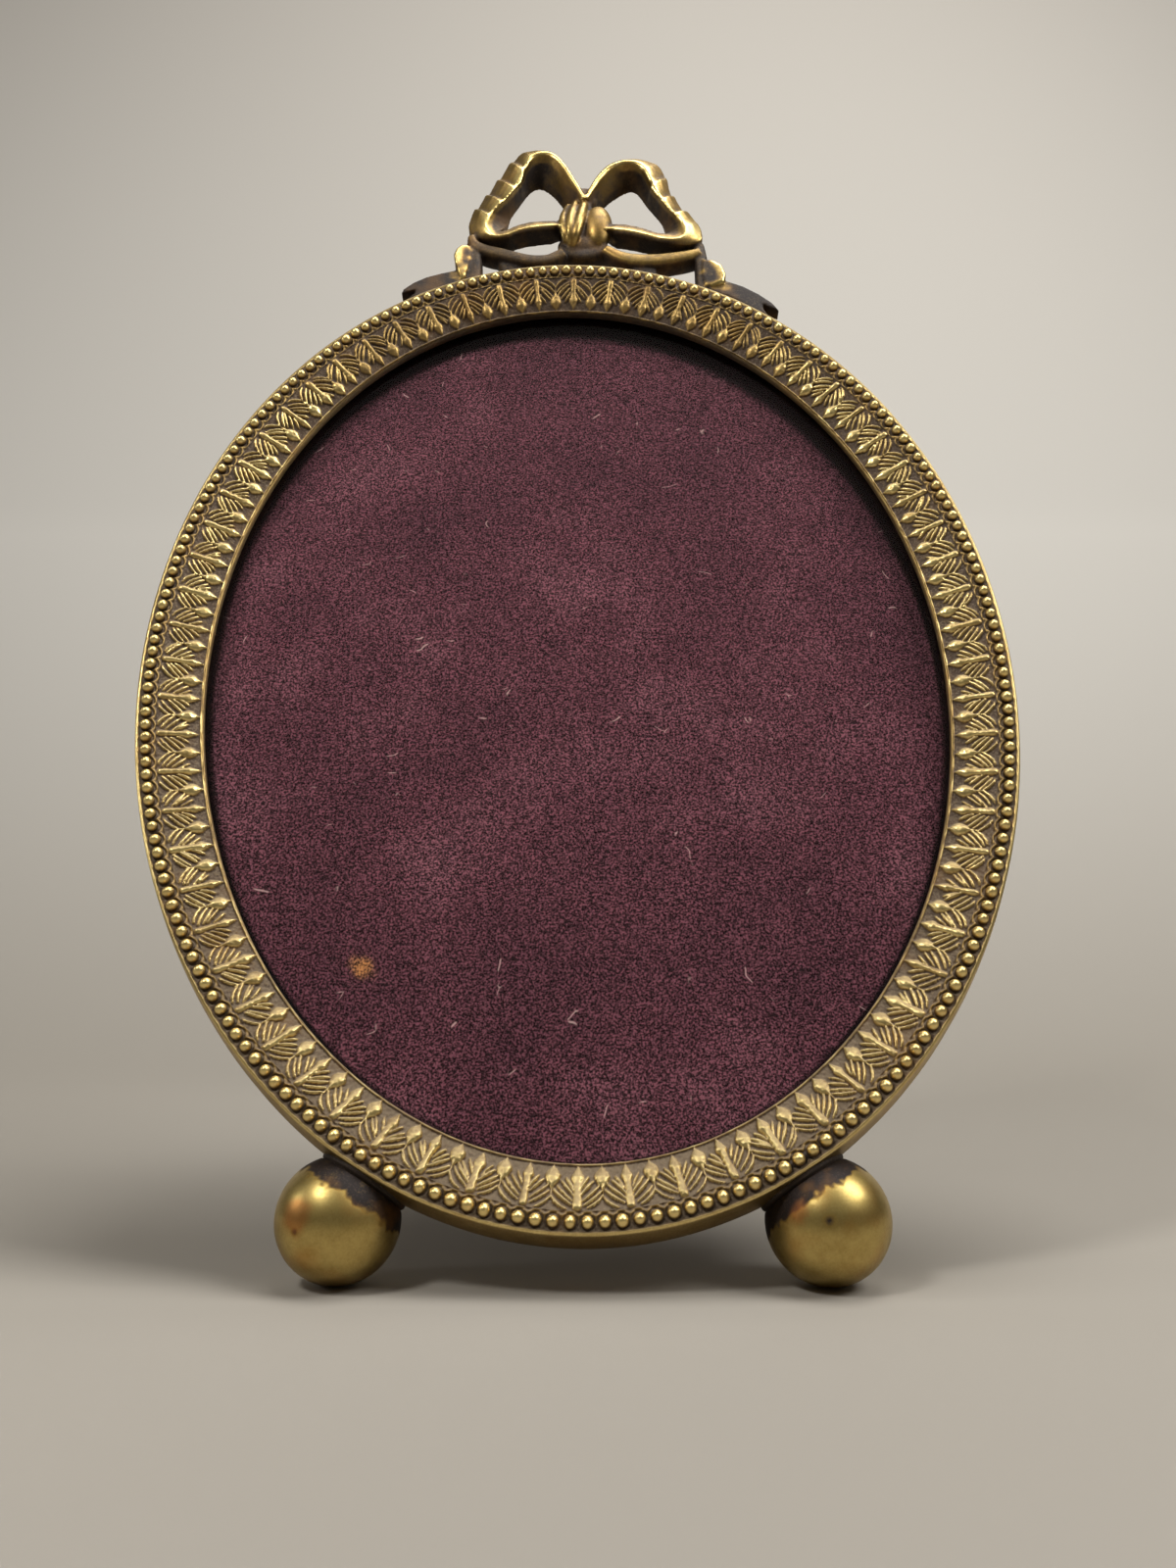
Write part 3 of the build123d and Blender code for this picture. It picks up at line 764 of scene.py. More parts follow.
@dataclass(frozen=True)
class RingCasting:
    """The cast ring: palmette band, bead ledge, outer wall, back and rebate."""

    brass: Material
    bead_brass: Material
    oval: Oval = Oval()
    repeats: int = 68
    columns: int = 46
    band_rows: int = 42
    band_width: float = 7.4
    band_radius: float = 81.7
    lip_depth: float = -3.0
    band_top: float = -0.3
    lip_back: float = -5.0
    lip_cover: float = 3.5
    ledge_rows: int = 22
    ledge_columns: int = 14
    rim_outer: float = 11.0
    rim_swell: float = 0.6
    rim_round: float = 0.4
    back: float = -12.2
    wall_stations: int = 720
    beads: int = 216
    bead_radius: float = 1.05
    bead_line: float = 9.1
    bead_line_radius: float = 87.3
    bead_sides: int = 18
    bead_rings: int = 8
    relief_drop: float = 0.3
    lip_height: float = 0.3
    lip_round: float = 0.34
    palmette_seed: int = 21
    bead_seed: int = 7
    rib_drift: float = 0.006
    leaf_drift: float = 0.014
    cast_grain: float = 0.55
    cast_fine: float = 0.25
    cast_depth: float = 0.07
    swell: float = 5.0
    swell_share: float = 0.18
    notch: float = 1.6
    notch_depth: float = 0.14
    lip_patch: float = 2.6
    lip_patch_share: float = 0.55
    # How much darker the painted shade makes the top of the band and of the rebate.
    top_shade: float = 0.45
    rebate_top_shade: float = 0.8
    web_radius: float = 1.5
    web_height: float = 0.3
    socket_radius: float = 1.14
    socket_depth: float = 0.3
    bead_sink: float = 0.28

    def strokes(self, chance: np.random.Generator) -> list[Stroke]:
        """Lines of one palmette, each a little different as on hand-chased work.

        Args:
            chance: source of the differences.

        Returns:
            The raised lines of the repeat.
        """
        found = [Stroke(RIB).varied(chance, self.rib_drift)]
        found += [Stroke(leaf).varied(chance, self.leaf_drift) for leaf in LEAVES]
        found += [Stroke(leaf).mirrored().varied(chance, self.leaf_drift) for leaf in LEAVES]
        return found + [Stroke(BUD), Stroke(BUD).mirrored()]

    def row_shares(self) -> Array:
        """Places of the band's rows from the lip to the beads, crowded where the lip is rounded."""
        crowded = [0.0, 0.006, 0.014, 0.024, 0.036, 0.05, 0.065]
        return np.concatenate([crowded, np.linspace(0.085, 1.0, self.band_rows - len(crowded))])

    def palmettes(self) -> tuple[Array, Array]:
        """Draws the relief of the whole band.

        Returns:
            Heights and how far each place is rubbed, stations by rows.
        """
        chance = np.random.default_rng(self.palmette_seed)
        across = (np.arange(self.columns) / self.columns - 0.5)[:, None] + np.zeros((1, self.band_rows))
        along = np.zeros((self.columns, 1)) + self.row_shares()[None, :]
        pitch = FULL_TURN * self.band_radius / self.repeats
        relief = np.concatenate([
            np.max([line.height(across, along, pitch, self.band_width)
                    for line in self.strokes(chance)], axis=0)
            for _ in range(self.repeats)])
        along = np.tile(along, (self.repeats, 1))
        lip = self.lip_height * (1 - smooth_step(0.03, 0.065, along))
        end = smooth_step(0.94, 1.0, along)
        edge = self.lip_round * (1 - np.clip(along / 0.032, 0, 1)) ** 2
        height = np.maximum(relief, lip) * (1 - 0.8 * end) - edge
        return height, smooth_step(0.07, 0.38, np.maximum(relief, lip * 1.3) * (1 - 0.6 * end))

    def painted_top_shade(self, edge: Array, loss: float) -> Array:
        """Share of its brightness that each station keeps: the top of the ring is painted darker, a painted
        shade where it faces down, away from the lamps.
        """
        return (1 - loss * smooth_step(0.55, 0.95, edge[:, 1] / self.oval.half_height))[:, None]

    def band(self) -> list[Piece]:
        """Builds the palmette band in two halves.

        Returns:
            The two pieces.
        """
        count = self.repeats * self.columns
        stations = self.oval.stations(count, self.band_width / 2)
        height, rubbed_and_shaded = self.palmettes()
        share = self.row_shares()
        base = self.lip_depth + (self.band_top - self.lip_depth) * share
        flat = self.oval.sweep(stations, share * self.band_width, base)
        cast = wobble(flat, self.cast_grain, 3.0, count) + 0.5 * wobble(flat, self.cast_fine, 6.0, count)
        swell = wobble(flat, self.swell, 9.0, count)
        height = height * (1 + self.swell_share * swell) + self.cast_depth * cast - self.relief_drop
        near_lip = 1 - smooth_step(0.0, 0.06, share)
        notch = self.notch_depth * wobble(flat, self.notch, 17.0, count) * near_lip
        slope = math.atan2(self.band_top - self.lip_depth, self.band_width)
        points = self.oval.sweep(stations, share * self.band_width - np.sin(slope) * height + notch,
                                 base + np.cos(slope) * height).reshape(count, self.band_rows, 3)
        rubbed_and_shaded = rubbed_and_shaded * (0.82 + 0.26 * swell) + 0.2 * cast + 0.03
        patchy = smooth_step(-0.25, 0.35, wobble(flat, self.lip_patch, 23.0, count))
        at_lip = 1 - smooth_step(0.05, 0.085, share)
        rubbed_and_shaded = rubbed_and_shaded * (1 - self.lip_patch_share * at_lip * (1 - patchy))
        # Painted shade: the band is painted darker towards the top of the ring.
        rubbed_and_shaded = rubbed_and_shaded * self.painted_top_shade(stations[0], self.top_shade)
        pieces = []
        for name, start in (("palmette_band_right", 0), ("palmette_band_left", count // 2)):
            rows = np.arange(start, start + count // 2 + 1) % count
            faces = grid_faces(len(rows), self.band_rows)
            pieces.append(piece_from(name, points[rows], faces, self.brass, rubbed_and_shaded[rows]))
        return pieces

    def ledge(self) -> Piece:
        """Builds the channel, the sockets round the beads and the thin rim outside them.

        Returns:
            The piece.
        """
        count = self.beads * self.ledge_columns
        stations = self.oval.stations(count, self.bead_line)
        pitch = FULL_TURN * self.bead_line_radius / self.beads
        offset = np.linspace(self.band_width, self.rim_outer, self.ledge_rows)
        share = (offset - self.band_width) / (self.rim_outer - self.band_width)
        base = np.interp(offset, [7.4, 7.75, 8.0, 10.35, 10.6, self.rim_outer],
                         [-0.52, -0.72, -0.32, -0.28, -0.1, -0.4])
        along = (((np.arange(count) / self.ledge_columns + 0.5) % 1) - 0.5) * pitch
        reach = np.hypot(along[:, None], offset - self.bead_line)
        inner = smooth_step(0.3, -0.2, offset - self.bead_line)
        web = self.web_height * np.exp(-((reach - self.web_radius) / 0.2) ** 2) * inner
        groove = -self.socket_depth * np.exp(-((reach - self.socket_radius) / 0.16) ** 2)
        cast = wobble(self.oval.sweep(stations, offset, base), 0.7, 5.0, count)
        depth = base + web + groove + 0.04 * cast * (1 - smooth_step(0.75, 0.85, share))
        rubbed_and_shaded = web * 1.5 + 0.75 * smooth_step(0.8, 0.88, share) + 0.08 + 0.1 * cast
        faces = grid_faces(count, self.ledge_rows, close_rows=True)
        return piece_from("bead_ledge", self.oval.sweep(stations, offset, depth), faces, self.brass, rubbed_and_shaded)

    def bead_row(self) -> Piece:
        """Builds the beads as slightly uneven domes.

        Returns:
            The piece.
        """
        sides, rings = self.bead_sides, self.bead_rings
        chance = np.random.default_rng(self.bead_seed)
        vertices, faces, wear = [], [], []
        for spot, out in zip(*self.oval.stations(self.beads, self.bead_line)):
            radius = self.bead_radius * chance.uniform(0.94, 1.03)
            squash = chance.uniform(0.92, 1.06, 2)
            side = np.array([out[1], -out[0]])
            middle = spot + out * (self.bead_line + chance.normal(0, 0.03)) + side * chance.normal(0, 0.03)
            first = len(vertices)
            for angle in np.linspace(0, math.pi / 2, rings + 1)[:-1]:
                rise, reach = math.sin(angle), radius * math.cos(angle)
                for turn in turns(sides):
                    flat = (out * math.cos(turn) * squash[0] + side * math.sin(turn) * squash[1]) * reach
                    vertices.append((*(middle + flat), radius * rise - self.bead_sink * (1 - rise)))
                    wear.append(0.1 + 0.9 * np.clip((rise - 0.2) / 0.5, 0.0, 1.0))
            vertices.append((*middle, radius))
            wear.append(1.0)
            top = first + rings * sides
            faces += [[first + a, first + d, first + c, first + b] for a, b, c, d in
                      grid_faces(rings, sides, close_columns=True)]
            faces += [[top - sides + turn, top, top - sides + (turn + 1) % sides] for turn in range(sides)]
        return piece_from("bead_row", STANCE.turned(vertices), faces, self.bead_brass, wear)

    def walls(self) -> Piece:
        """Builds the outer wall, the back, the rebate and the lip's inner wall.

        Returns:
            The piece.
        """
        low, cover, count = self.rim_outer, self.lip_cover, self.wall_stations
        rim = [(low - 0.35, -0.12, 0.75), (low - 0.1, -0.2, 0.8)]
        fall = self.back + self.rim_round + 0.4
        fading = [0.68, 0.6, 0.56, 0.53, 0.5, 0.47, 0.44, 0.42, 0.4, 0.36, 0.32, 0.28]
        swell = [(low + self.rim_swell * math.sin(s * math.pi), -self.rim_round + s * fall, wear)
                 for s, wear in zip(np.linspace(0.0, 1.0, len(fading)), fading)]
        back = [(low - 0.15, self.back + 0.12, 0.35), (low - 0.5, self.back, 0.3),
                (cover + 0.4, self.back, 0.25)]
        rebate = [(cover, self.back + 0.4, 0.2), (cover, self.lip_back - 0.3, 0.1),
                  (cover, self.lip_back, 0.1), (0.3, self.lip_back, 0.25), (0.0, self.lip_back + 0.3, 0.3),
                  (0.0, -4.0, 0.35), (0.0, -3.4, 0.4), (0.12, -3.34, 0.6)]
        offset, depth, bright = np.array(rim + swell + back + rebate).T
        stations = self.oval.stations(count, self.band_width)
        points = self.oval.sweep(stations, offset, depth)
        dents = wobble(points, 9.0, 2.0)
        points[:, :2] *= 1 + 0.0005 * dents[:, None]
        kept = np.ones((count, len(bright)))
        # Painted shade: the rebate and the lip's inner wall are painted darker towards the top of the ring.
        kept[:, -len(rebate):] = self.painted_top_shade(stations[0], self.rebate_top_shade)
        wear = (bright * kept).reshape(-1) + 0.06 * dents
        faces = grid_faces(count, len(bright), close_rows=True)
        return piece_from("ring_walls", points, faces, self.brass, wear)

    def build(self) -> None:
        """Builds every piece of the ring, attaches it to the frame and hides the nodes that it replaces."""
        for piece in [*self.band(), self.ledge(), self.walls()]:
            finish_piece(piece, Body.FRAME, "ring_brass", "bezel")
        finish_piece(self.bead_row(), Body.FRAME, "bead_brass", "bead_border")


def neighbour_sum(values: Array, edges: Array) -> Array:
    """Adds up the values of each vertex's neighbours."""
    total = np.zeros_like(values)
    np.add.at(total, edges[:, 0], values[edges[:, 1]])
    np.add.at(total, edges[:, 1], values[edges[:, 0]])
    return total


@dataclass
class SolidParts:
    """Collects closed shapes in millimetres that are then fused into one casting."""

    vertices: list[Array] = field(default_factory=list)
    faces: Faces = field(default_factory=list)
    wear: list[Array] = field(default_factory=list)
    soften_share: float = 0.5
    soften_rounds: int = 3
    nearest: int = 3
    flatten_rounds: int = 6
    blur_rounds: int = 4
    ridge_gain: float = 3.0

    def tube(self, rings: Array, wear: Array | float) -> None:
        """Adds a capped tube through rings of points.

        Args:
            rings: rings by points by x, y, z.
            wear: one value, or one a point.
        """
        first = sum(len(v) for v in self.vertices)
        self.vertices.append(rings.reshape(-1, 3))
        self.faces += [[first + number for number in face] for face in capped_faces(*rings.shape[:2])]
        self.wear.append(np.broadcast_to(wear, rings.shape[:2]).reshape(-1))

    def egg(self, middle: Array, radii: Point, wear: float) -> None:
        """Adds an egg shape by its middle and its three radii."""
        up, turn = np.linspace(0.12, math.pi - 0.12, 15)[:, None], turns(24)
        rings = [np.sin(up) * np.cos(turn) * radii[0], np.cos(up) * np.ones(24) * radii[1],
                 np.sin(up) * np.sin(turn) * radii[2]]
        self.tube(np.stack(rings, axis=-1) + middle, wear)

    def fused(self, name: str, voxel: float, material: Material) -> Piece:
        """Fuses the shapes with a voxel remesh and softens the joins as casting does.

        Args:
            name: the piece's name.
            voxel: size of the voxels in millimetres.
            material: the brass.

        Returns:
            The finished piece.
        """
        points = np.concatenate(self.vertices)
        rough = piece_from(name + "_parts", points, self.faces, material)
        remesh = rough.modifiers.new("fuse", "REMESH")
        remesh.mode, remesh.voxel_size = "VOXEL", voxel * MM
        soften = rough.modifiers.new("soften", "SMOOTH")
        soften.factor, soften.iterations = self.soften_share, self.soften_rounds
        mesh = bpy.data.meshes.new_from_object(rough.evaluated_get(bpy.context.evaluated_depsgraph_get()))
        mesh.name = name
        bpy.data.objects.remove(rough)
        self.rub(mesh, STANCE.place(points))
        mesh.materials.clear()
        mesh.materials.append(material)
        mesh.shade_smooth()
        return link_object(name, mesh)

    def rub(self, mesh: bpy.types.Mesh, points: Array) -> None:
        """Gives each vertex the wear of the nearest collected points, brighter on ridges than in folds.

        Args:
            mesh: the fused mesh.
            points: the collected points in metres.
        """
        tree = kdtree.KDTree(len(points))
        for number, point in enumerate(points):
            tree.insert(point, number)
        tree.balance()
        wear, size = np.concatenate(self.wear), len(mesh.vertices)
        place, normal = np.empty(size * 3, np.float32), np.empty(size * 3, np.float32)
        mesh.vertices.foreach_get("co", place)
        mesh.vertices.foreach_get("normal", normal)
        place, normal = place.reshape(-1, 3), normal.reshape(-1, 3)
        value = np.empty(size)
        for number, point in enumerate(place):
            near = tree.find_n(point, self.nearest)
            weights = [1 / (distance + 1e-5) for _, _, distance in near]
            value[number] = sum(wear[index] * w for (_, index, _), w in zip(near, weights)) / sum(weights)
        edges = np.empty(len(mesh.edges) * 2, np.int32)
        mesh.edges.foreach_get("vertices", edges)
        degree = np.bincount(edges, minlength=size)
        edges = edges.reshape(-1, 2)
        around = place.copy()
        for _ in range(self.flatten_rounds):
            around = neighbour_sum(around, edges) / degree[:, None]
        for _ in range(self.blur_rounds):
            value = 0.5 * value + 0.5 * neighbour_sum(value, edges) / degree
        ridge = ((place - around) * normal).sum(axis=1) / MM
        extra = np.clip(ridge * self.ridge_gain, -0.3, 0.5) * (0.15 + value)
        paint(mesh, "wear", np.clip(value + extra, 0, 1))


# Each row of a loop holds pixels of its ridge, pixels and depth of its outer edge, pixels of its inner
# edge, the wear of the outer and of the inner face, and where they differ from the usual ones the
# depths of the inner edge and of the back. The two wear columns also carry painted light and shade:
# higher where a face catches the light, lower where it lies in shade.
LOOP_DEPTHS = (-7.6, -8)
LEFT_LOOP = [
    (790, 250, 786, 240, -3.4, 715, 310, .5, .2), (764, 202, 764, 200, -3.4, 692, 282, .5, .3),
    (738, 160, 738, 158, -3.4, 673, 258, .5, .42), (706, 112, 706, 110, -3.4, 652, 237, .5, .45),
    (678, 81, 678, 79, -3.2, 630, 221, .6, .3), (645, 62, 645, 59, -3, 612, 213, .6, .12),
    (606, 60, 605, 54, -2.8, 596, 212, .6, .06), (574, 72, 562, 57, -2.9, 582, 216, .55, .05),
    (557, 92, 524, 70, -3.4, 567, 226, .55, .06), (541, 121, 494, 96, -4, 553, 241, .55, .08),
    (525, 155, 467, 130, -4.3, 541, 256, .55, .08), (508, 190, 443, 162, -4.5, 529, 272, .55, .08),
    (489, 219, 423, 190, -4.6, 517, 288, .55, .08), (465, 245, 401, 220, -4.6, 506, 303, .55, .08),
    (439, 269, 380, 247, -4.6, 495, 318, .55, .08), (413, 294, 359, 275, -4.6, 485, 334, .55, .08),
    (390, 319, 339, 299, -4.5, 477, 349, .6, .1, -7, -8),
    (379, 346, 322, 328, -4.4, 470, 360, .65, .15, -5.6, -7.4),
    (386, 374, 313, 368, -4.2, 458, 370, .6, .2, -3.8, -7.2),
    (405, 396, 336, 404, -3.8, 444, 378, .5, .35, -2.8, -7),
    (432, 402, 405, 418, -3, 446, 382, .3, .4, -2.4, -6.8),
    (470, 394, 466, 410, -2.5, 474, 374, .15, .4, -2.4, -6.8),
    (515, 377, 512, 395, -2.5, 514, 357, .12, .35, -2.4, -6.8),
    (560, 366, 560, 385, -2.5, 558, 346, .12, .35, -2.4, -6.8),
    (610, 360, 610, 379, -2.5, 608, 341, .12, .35, -2.4, -6.8),
    (655, 358, 655, 376, -2.7, 655, 340, .1, .25, -2.6, -6.8),
    (695, 360, 695, 376, -3.8, 695, 345, .1, .1, -3.7, -6.8)]
RIGHT_LOOP = [
    (784, 250, 790, 240, -3.4, 850, 312, .5, .2), (812, 200, 812, 197, -3.4, 863, 291, .5, .4),
    (842, 156, 842, 153, -3.4, 889, 268, .5, .5), (879, 120, 879, 117, -3.4, 919, 247, .5, .45),
    (920, 101, 920, 98, -3.2, 947, 231, .6, .3), (960, 94, 960, 91, -3, 972, 223, .6, .15),
    (995, 98, 1000, 89, -2.9, 990, 226, .6, .06), (1023, 113, 1045, 98, -3.2, 1004, 236, .6, .05),
    (1043, 138, 1087, 119, -3.8, 1018, 254, .55, .08), (1058, 167, 1112, 150, -4.1, 1032, 274, .55, .1),
    (1072, 197, 1125, 185, -4.3, 1047, 293, .55, .1), (1087, 226, 1134, 217, -4.4, 1062, 310, .55, .1),
    (1105, 254, 1152, 247, -4.4, 1076, 326, .55, .1), (1127, 281, 1172, 275, -4.4, 1090, 342, .55, .1),
    (1151, 305, 1196, 301, -4.3, 1103, 358, .6, .1, -7.4, -8),
    (1176, 327, 1224, 326, -4.1, 1112, 372, .7, .12, -6.8, -8),
    (1194, 352, 1249, 352, -3.8, 1116, 383, .9, .2, -5.6, -7.4),
    (1200, 380, 1264, 386, -3.5, 1116, 390, .95, .3, -4.2, -6.8),
    (1190, 402, 1262, 420, -3.2, 1112, 392, .7, .4, -3, -7),
    (1150, 412, 1196, 438, -2.9, 1104, 390, .3, .45, -2.5, -6.8),
    (1092, 407, 1102, 428, -2.5, 1078, 387, .15, .4, -2.4, -6.8),
    (1032, 392, 1032, 412, -2.5, 1030, 371, .12, .35, -2.4, -6.8),
    (970, 379, 968, 399, -2.5, 970, 357, .12, .35, -2.4, -6.8),
    (915, 373, 913, 393, -2.7, 915, 353, .12, .3, -2.6, -6.8),
    (872, 373, 872, 392, -4.4, 872, 354, .1, .1, -4.3, -6.8)]


@dataclass(frozen=True)
class BowCrest:
    """The ribbon bow on top of the ring, drawn over the photograph's enlarged crest.

    Tables give pixels of the crest, enlarged four times from its corner. Every part is ribbon that
    runs back from its front edge, so each is placed by what is seen of it at its own depth.
    """

    brass: Material
    corner: Pixel = (400.0, 140.0)
    enlarged: float = 4.0
    ridge_depth: float = -2.0
    loop_rings: int = 170
    crinkle: float = 0.45
    ridge_sway: float = 0.2
    ridge_lift: float = 0.12
    rim_width: float = 0.75
    rim_drop: float = 0.25
    crown: float = 0.4
    voxel: float = 0.27
    parts: SolidParts = field(default_factory=SolidParts)

    def seen(self, pixels: list[Pixel] | Array, depth: Array | float) -> Array:
        """Places enlarged pixels on the upright picture at a depth, in millimetres."""
        return SIGHT.on_picture(np.asarray(pixels, float) / self.enlarged + np.array(self.corner), depth)

    def smooth(self, rows: Rows, count: int) -> Array:
        """Runs a smooth line through the rows of a table.

        Args:
            rows: the table, any number of columns.
            count: how many rows to give back.

        Returns:
            The finer table.
        """
        table = np.array(rows, float)
        last = len(table) - 1
        at = np.linspace(0, last, count)
        low = np.minimum(at.astype(int), last - 1)
        share = (at - low)[:, None]
        a, b, c, d = [table[np.clip(low + step, 0, last)] for step in (-1, 0, 1, 2)]
        return 0.5 * (2 * b + (c - a) * share + (2 * a - 5 * b + 4 * c - d) * share ** 2
                      + (3 * b - a - 3 * c + d) * share ** 3)

    def lowered(self, points: Array, depth: Array) -> Array:
        """The same points moved straight back to a depth."""
        return np.column_stack([points[:, :2], np.minimum(depth, points[:, 2] - 0.1)])

    def loop(self, rows: Rows, start: float, end: float, crinkles: int) -> None:
        """Adds a loop of ribbon, whose outer and inner faces meet in a bright ridge at its front.

        Args:
            rows: the loop's table.
            start: share of the loop where its crinkles start.
            end: share of the loop where they end.
            crinkles: how many there are.
        """
        full = [row if len(row) > 9 else (*row, *LOOP_DEPTHS) for row in rows]
        fine = self.smooth(full, self.loop_rings)
        # Painted light and shade ride in the wear of the outer and inner faces.
        outer_wear_and_shading, inner_wear_and_shading, back = fine[:, 7], fine[:, 8], fine[:, 10]
        share = np.linspace(0, 1, len(fine))
        inside = smooth_step(start, start + 0.05, share) * (1 - smooth_step(end - 0.05, end, share))
        phase = (share - start) / (end - start) * crinkles * FULL_TURN
        wave = np.sin(phase + 0.6 * np.sin(phase)) * inside
        ridge = self.seen(fine[:, 0:2], self.ridge_depth)
        outer = self.seen(fine[:, 2:4], fine[:, 4])
        inner = self.seen(fine[:, 5:7], fine[:, 9])
        inward = inner[:, :2] - ridge[:, :2]
        inward /= np.hypot(*inward.T)[:, None] + 1e-9
        ridge[:, :2] += inward * (self.ridge_sway * wave)[:, None]
        ridge[:, 2] += self.ridge_lift * wave
        rim = ridge + np.column_stack([inward * self.rim_width, np.full(len(fine), -self.rim_drop)])
        shoulder = ridge + (outer - ridge) * 0.5
        shoulder[:, 2] = ridge[:, 2] * 0.62 + outer[:, 2] * 0.38 + self.crinkle * wave
        outer[:, 2] += self.crinkle * wave
        sections = [
            (ridge, 0.78), (shoulder, outer_wear_and_shading * 0.8), (outer, outer_wear_and_shading * 0.75),
            (self.lowered(outer, outer[:, 2] - 0.5), outer_wear_and_shading * 0.35), (self.lowered(outer, back), 0.1),
            (self.lowered(inner, back), 0.1), (inner, 0.12),
            (rim + (inner - rim) * 0.5, inner_wear_and_shading * 0.85), (rim, 0.5)]
        self.parts.tube(np.stack([points for points, _ in sections], axis=1),
                        np.stack([np.broadcast_to(value, len(fine)) for _, value in sections], axis=1))

    def ribbon(self, rows: Rows, front: float, back: float, wear: float, edge: float | None = None) -> None:
        """Adds a length of ribbon on edge.

        Args:
            rows: pixel across and down of its front edge, and its thickness in millimetres.
            front: z of its front.
            back: z of its back.
            wear: of its faces.
            edge: wear of its front edge, if that differs.
        """
        fine = self.smooth(rows, 12 * len(rows))
        middle = self.seen(fine[:, :2], front)[:, :2]
        along = np.gradient(middle, axis=0)
        along /= np.hypot(*along.T)[:, None]
        out = np.stack([-along[:, 1], along[:, 0]], axis=1)
        half, turn = fine[:, 2] / 2, turns(20)
        wide = np.sign(np.cos(turn)) * np.abs(np.cos(turn)) ** 0.6
        deep = np.sign(np.sin(turn)) * np.abs(np.sin(turn)) ** 0.7
        rings = np.stack([np.column_stack([middle + out * (half * w)[:, None], np.full(
            len(fine), (front + back) / 2 + d * (front - back) / 2)]) for w, d in zip(wide, deep)], axis=1)
        self.parts.tube(rings, np.where(deep > 0.75, wear if edge is None else edge, wear))

    def slab(self, outline: list[Pixel], front: float, back: float, wear: float, edge_wear: float,
             tilt: float = 0.0) -> None:
        """Adds a flat piece of ribbon with a crowned front.

        Args:
            outline: pixels of its edge.
            front: z of its front.
            back: z of its back.
            wear: of its face.
            edge_wear: of its edge.
            tilt: how much further forward its right end is than its left, in millimetres.
        """
        edge = self.seen(outline, front)[:, :2]
        if (edge[:, 0] * np.roll(edge[:, 1], -1) - edge[:, 1] * np.roll(edge[:, 0], -1)).sum() < 0:
            edge = edge[::-1]
        lean = tilt * ((edge[:, 0] - edge[:, 0].min()) / np.ptp(edge[:, 0]) - 0.5)
        inset = edge + (edge.mean(axis=0) - edge) * 0.12
        rings = [(edge, np.full(len(edge), back)), (edge, front - self.crown + lean), (inset, front + lean)]
        self.parts.tube(np.stack([np.column_stack(ring) for ring in rings]),
                        np.array([0.1, edge_wear, wear])[:, None])

    def cord(self, rows: Rows, wear: float) -> None:
        """Adds a round ridge of the knot.

        Args:
            rows: pixel across and down, z, and radius in millimetres.
            wear: of its surface.
        """
        fine = self.smooth(rows, 8 * len(rows))
        middle = self.seen(fine[:, :2], fine[:, 2])
        along = np.gradient(middle, axis=0)
        along /= np.linalg.norm(along, axis=1)[:, None]
        side = np.cross(along, np.array([0.0, 0.0, 1.0]))
        side /= np.linalg.norm(side, axis=1)[:, None]
        turn = turns(12)[None, :, None]
        round_it = side[:, None] * np.cos(turn) + np.cross(side, along)[:, None] * np.sin(turn)
        self.parts.tube(middle[:, None] + round_it * fine[:, 3][:, None, None], wear)

    def bulge(self, pixel: Pixel, depth: float, radii: Point, wear: float) -> None:
        """Adds an egg shape whose middle is seen at a pixel."""
        self.parts.egg(self.seen([pixel], depth)[0], radii, wear)

    def ribbons(self) -> None:
        """Adds the ribbon that passes under the knot, its folds, its feet on the ring and its tails."""
        self.ribbon([(322, 396, 2.0), (340, 430, 2.8), (385, 450, 3.3), (435, 462, 3.5), (490, 476, 3.5),
                     (545, 488, 3.4), (595, 492, 3.3), (645, 486, 3.2), (700, 460, 3.0)], -3.2, -8, 0.08,
                     0.2)
        self.ribbon([(450, 468, 4.4), (490, 520, 5.6), (500, 575, 6.0)], -4.4, -8, 0.1)
        self.ribbon([(330, 420, 3.0), (338, 500, 3.2), (330, 600, 3.6)], -3.6, -7.6, 0.0, 0.1)
        self.ribbon([(870, 446, 2.8), (930, 476, 3.5), (1000, 490, 4.0), (1080, 490, 4.0),
                     (1150, 482, 3.8), (1210, 472, 3.4), (1258, 460, 2.8)], -3.2, -8, 0.1, 0.42)
        self.ribbon([(1020, 480, 5.0), (1030, 540, 6.0), (1030, 600, 6.4)], -4.2, -8, 0.0)
        self.ribbon([(1250, 430, 2.8), (1264, 500, 3.0), (1274, 640, 3.4)], -3.6, -7.6, 0.0, 0.1)
        self.ribbon([(680, 448, 3.2), (780, 468, 3.6), (885, 446, 3.2)], -3.8, -8, 0.08)
        self.slab([(300, 430), (318, 434), (327, 446), (322, 485), (308, 530), (300, 560), (282, 570),
                   (268, 548), (256, 505), (252, 478), (262, 456), (280, 438)], -2.8, -6.6, 0.6, 0.75,
                   -0.8)
        self.slab([(1266, 486), (1312, 497), (1346, 520), (1364, 560), (1355, 592), (1310, 604),
                   (1276, 598), (1264, 540)], -2.8, -6.6, 0.6, 0.8, 0.8)
        self.slab([(272, 536), (200, 551), (140, 567), (85, 590), (45, 616), (36, 634), (66, 629),
                   (98, 618), (86, 640), (60, 656), (110, 652), (180, 636), (250, 602), (300, 582),
                   (300, 552)], -3.4, -6.4, -0.12, 0.08)
        self.slab([(1290, 576), (1370, 583), (1432, 603), (1500, 637), (1556, 673), (1584, 705),
                   (1545, 694), (1514, 676), (1520, 700), (1542, 728), (1500, 716), (1440, 684),
                   (1380, 652), (1310, 628), (1280, 612)], -3.4, -6.4, -0.12, 0.08)

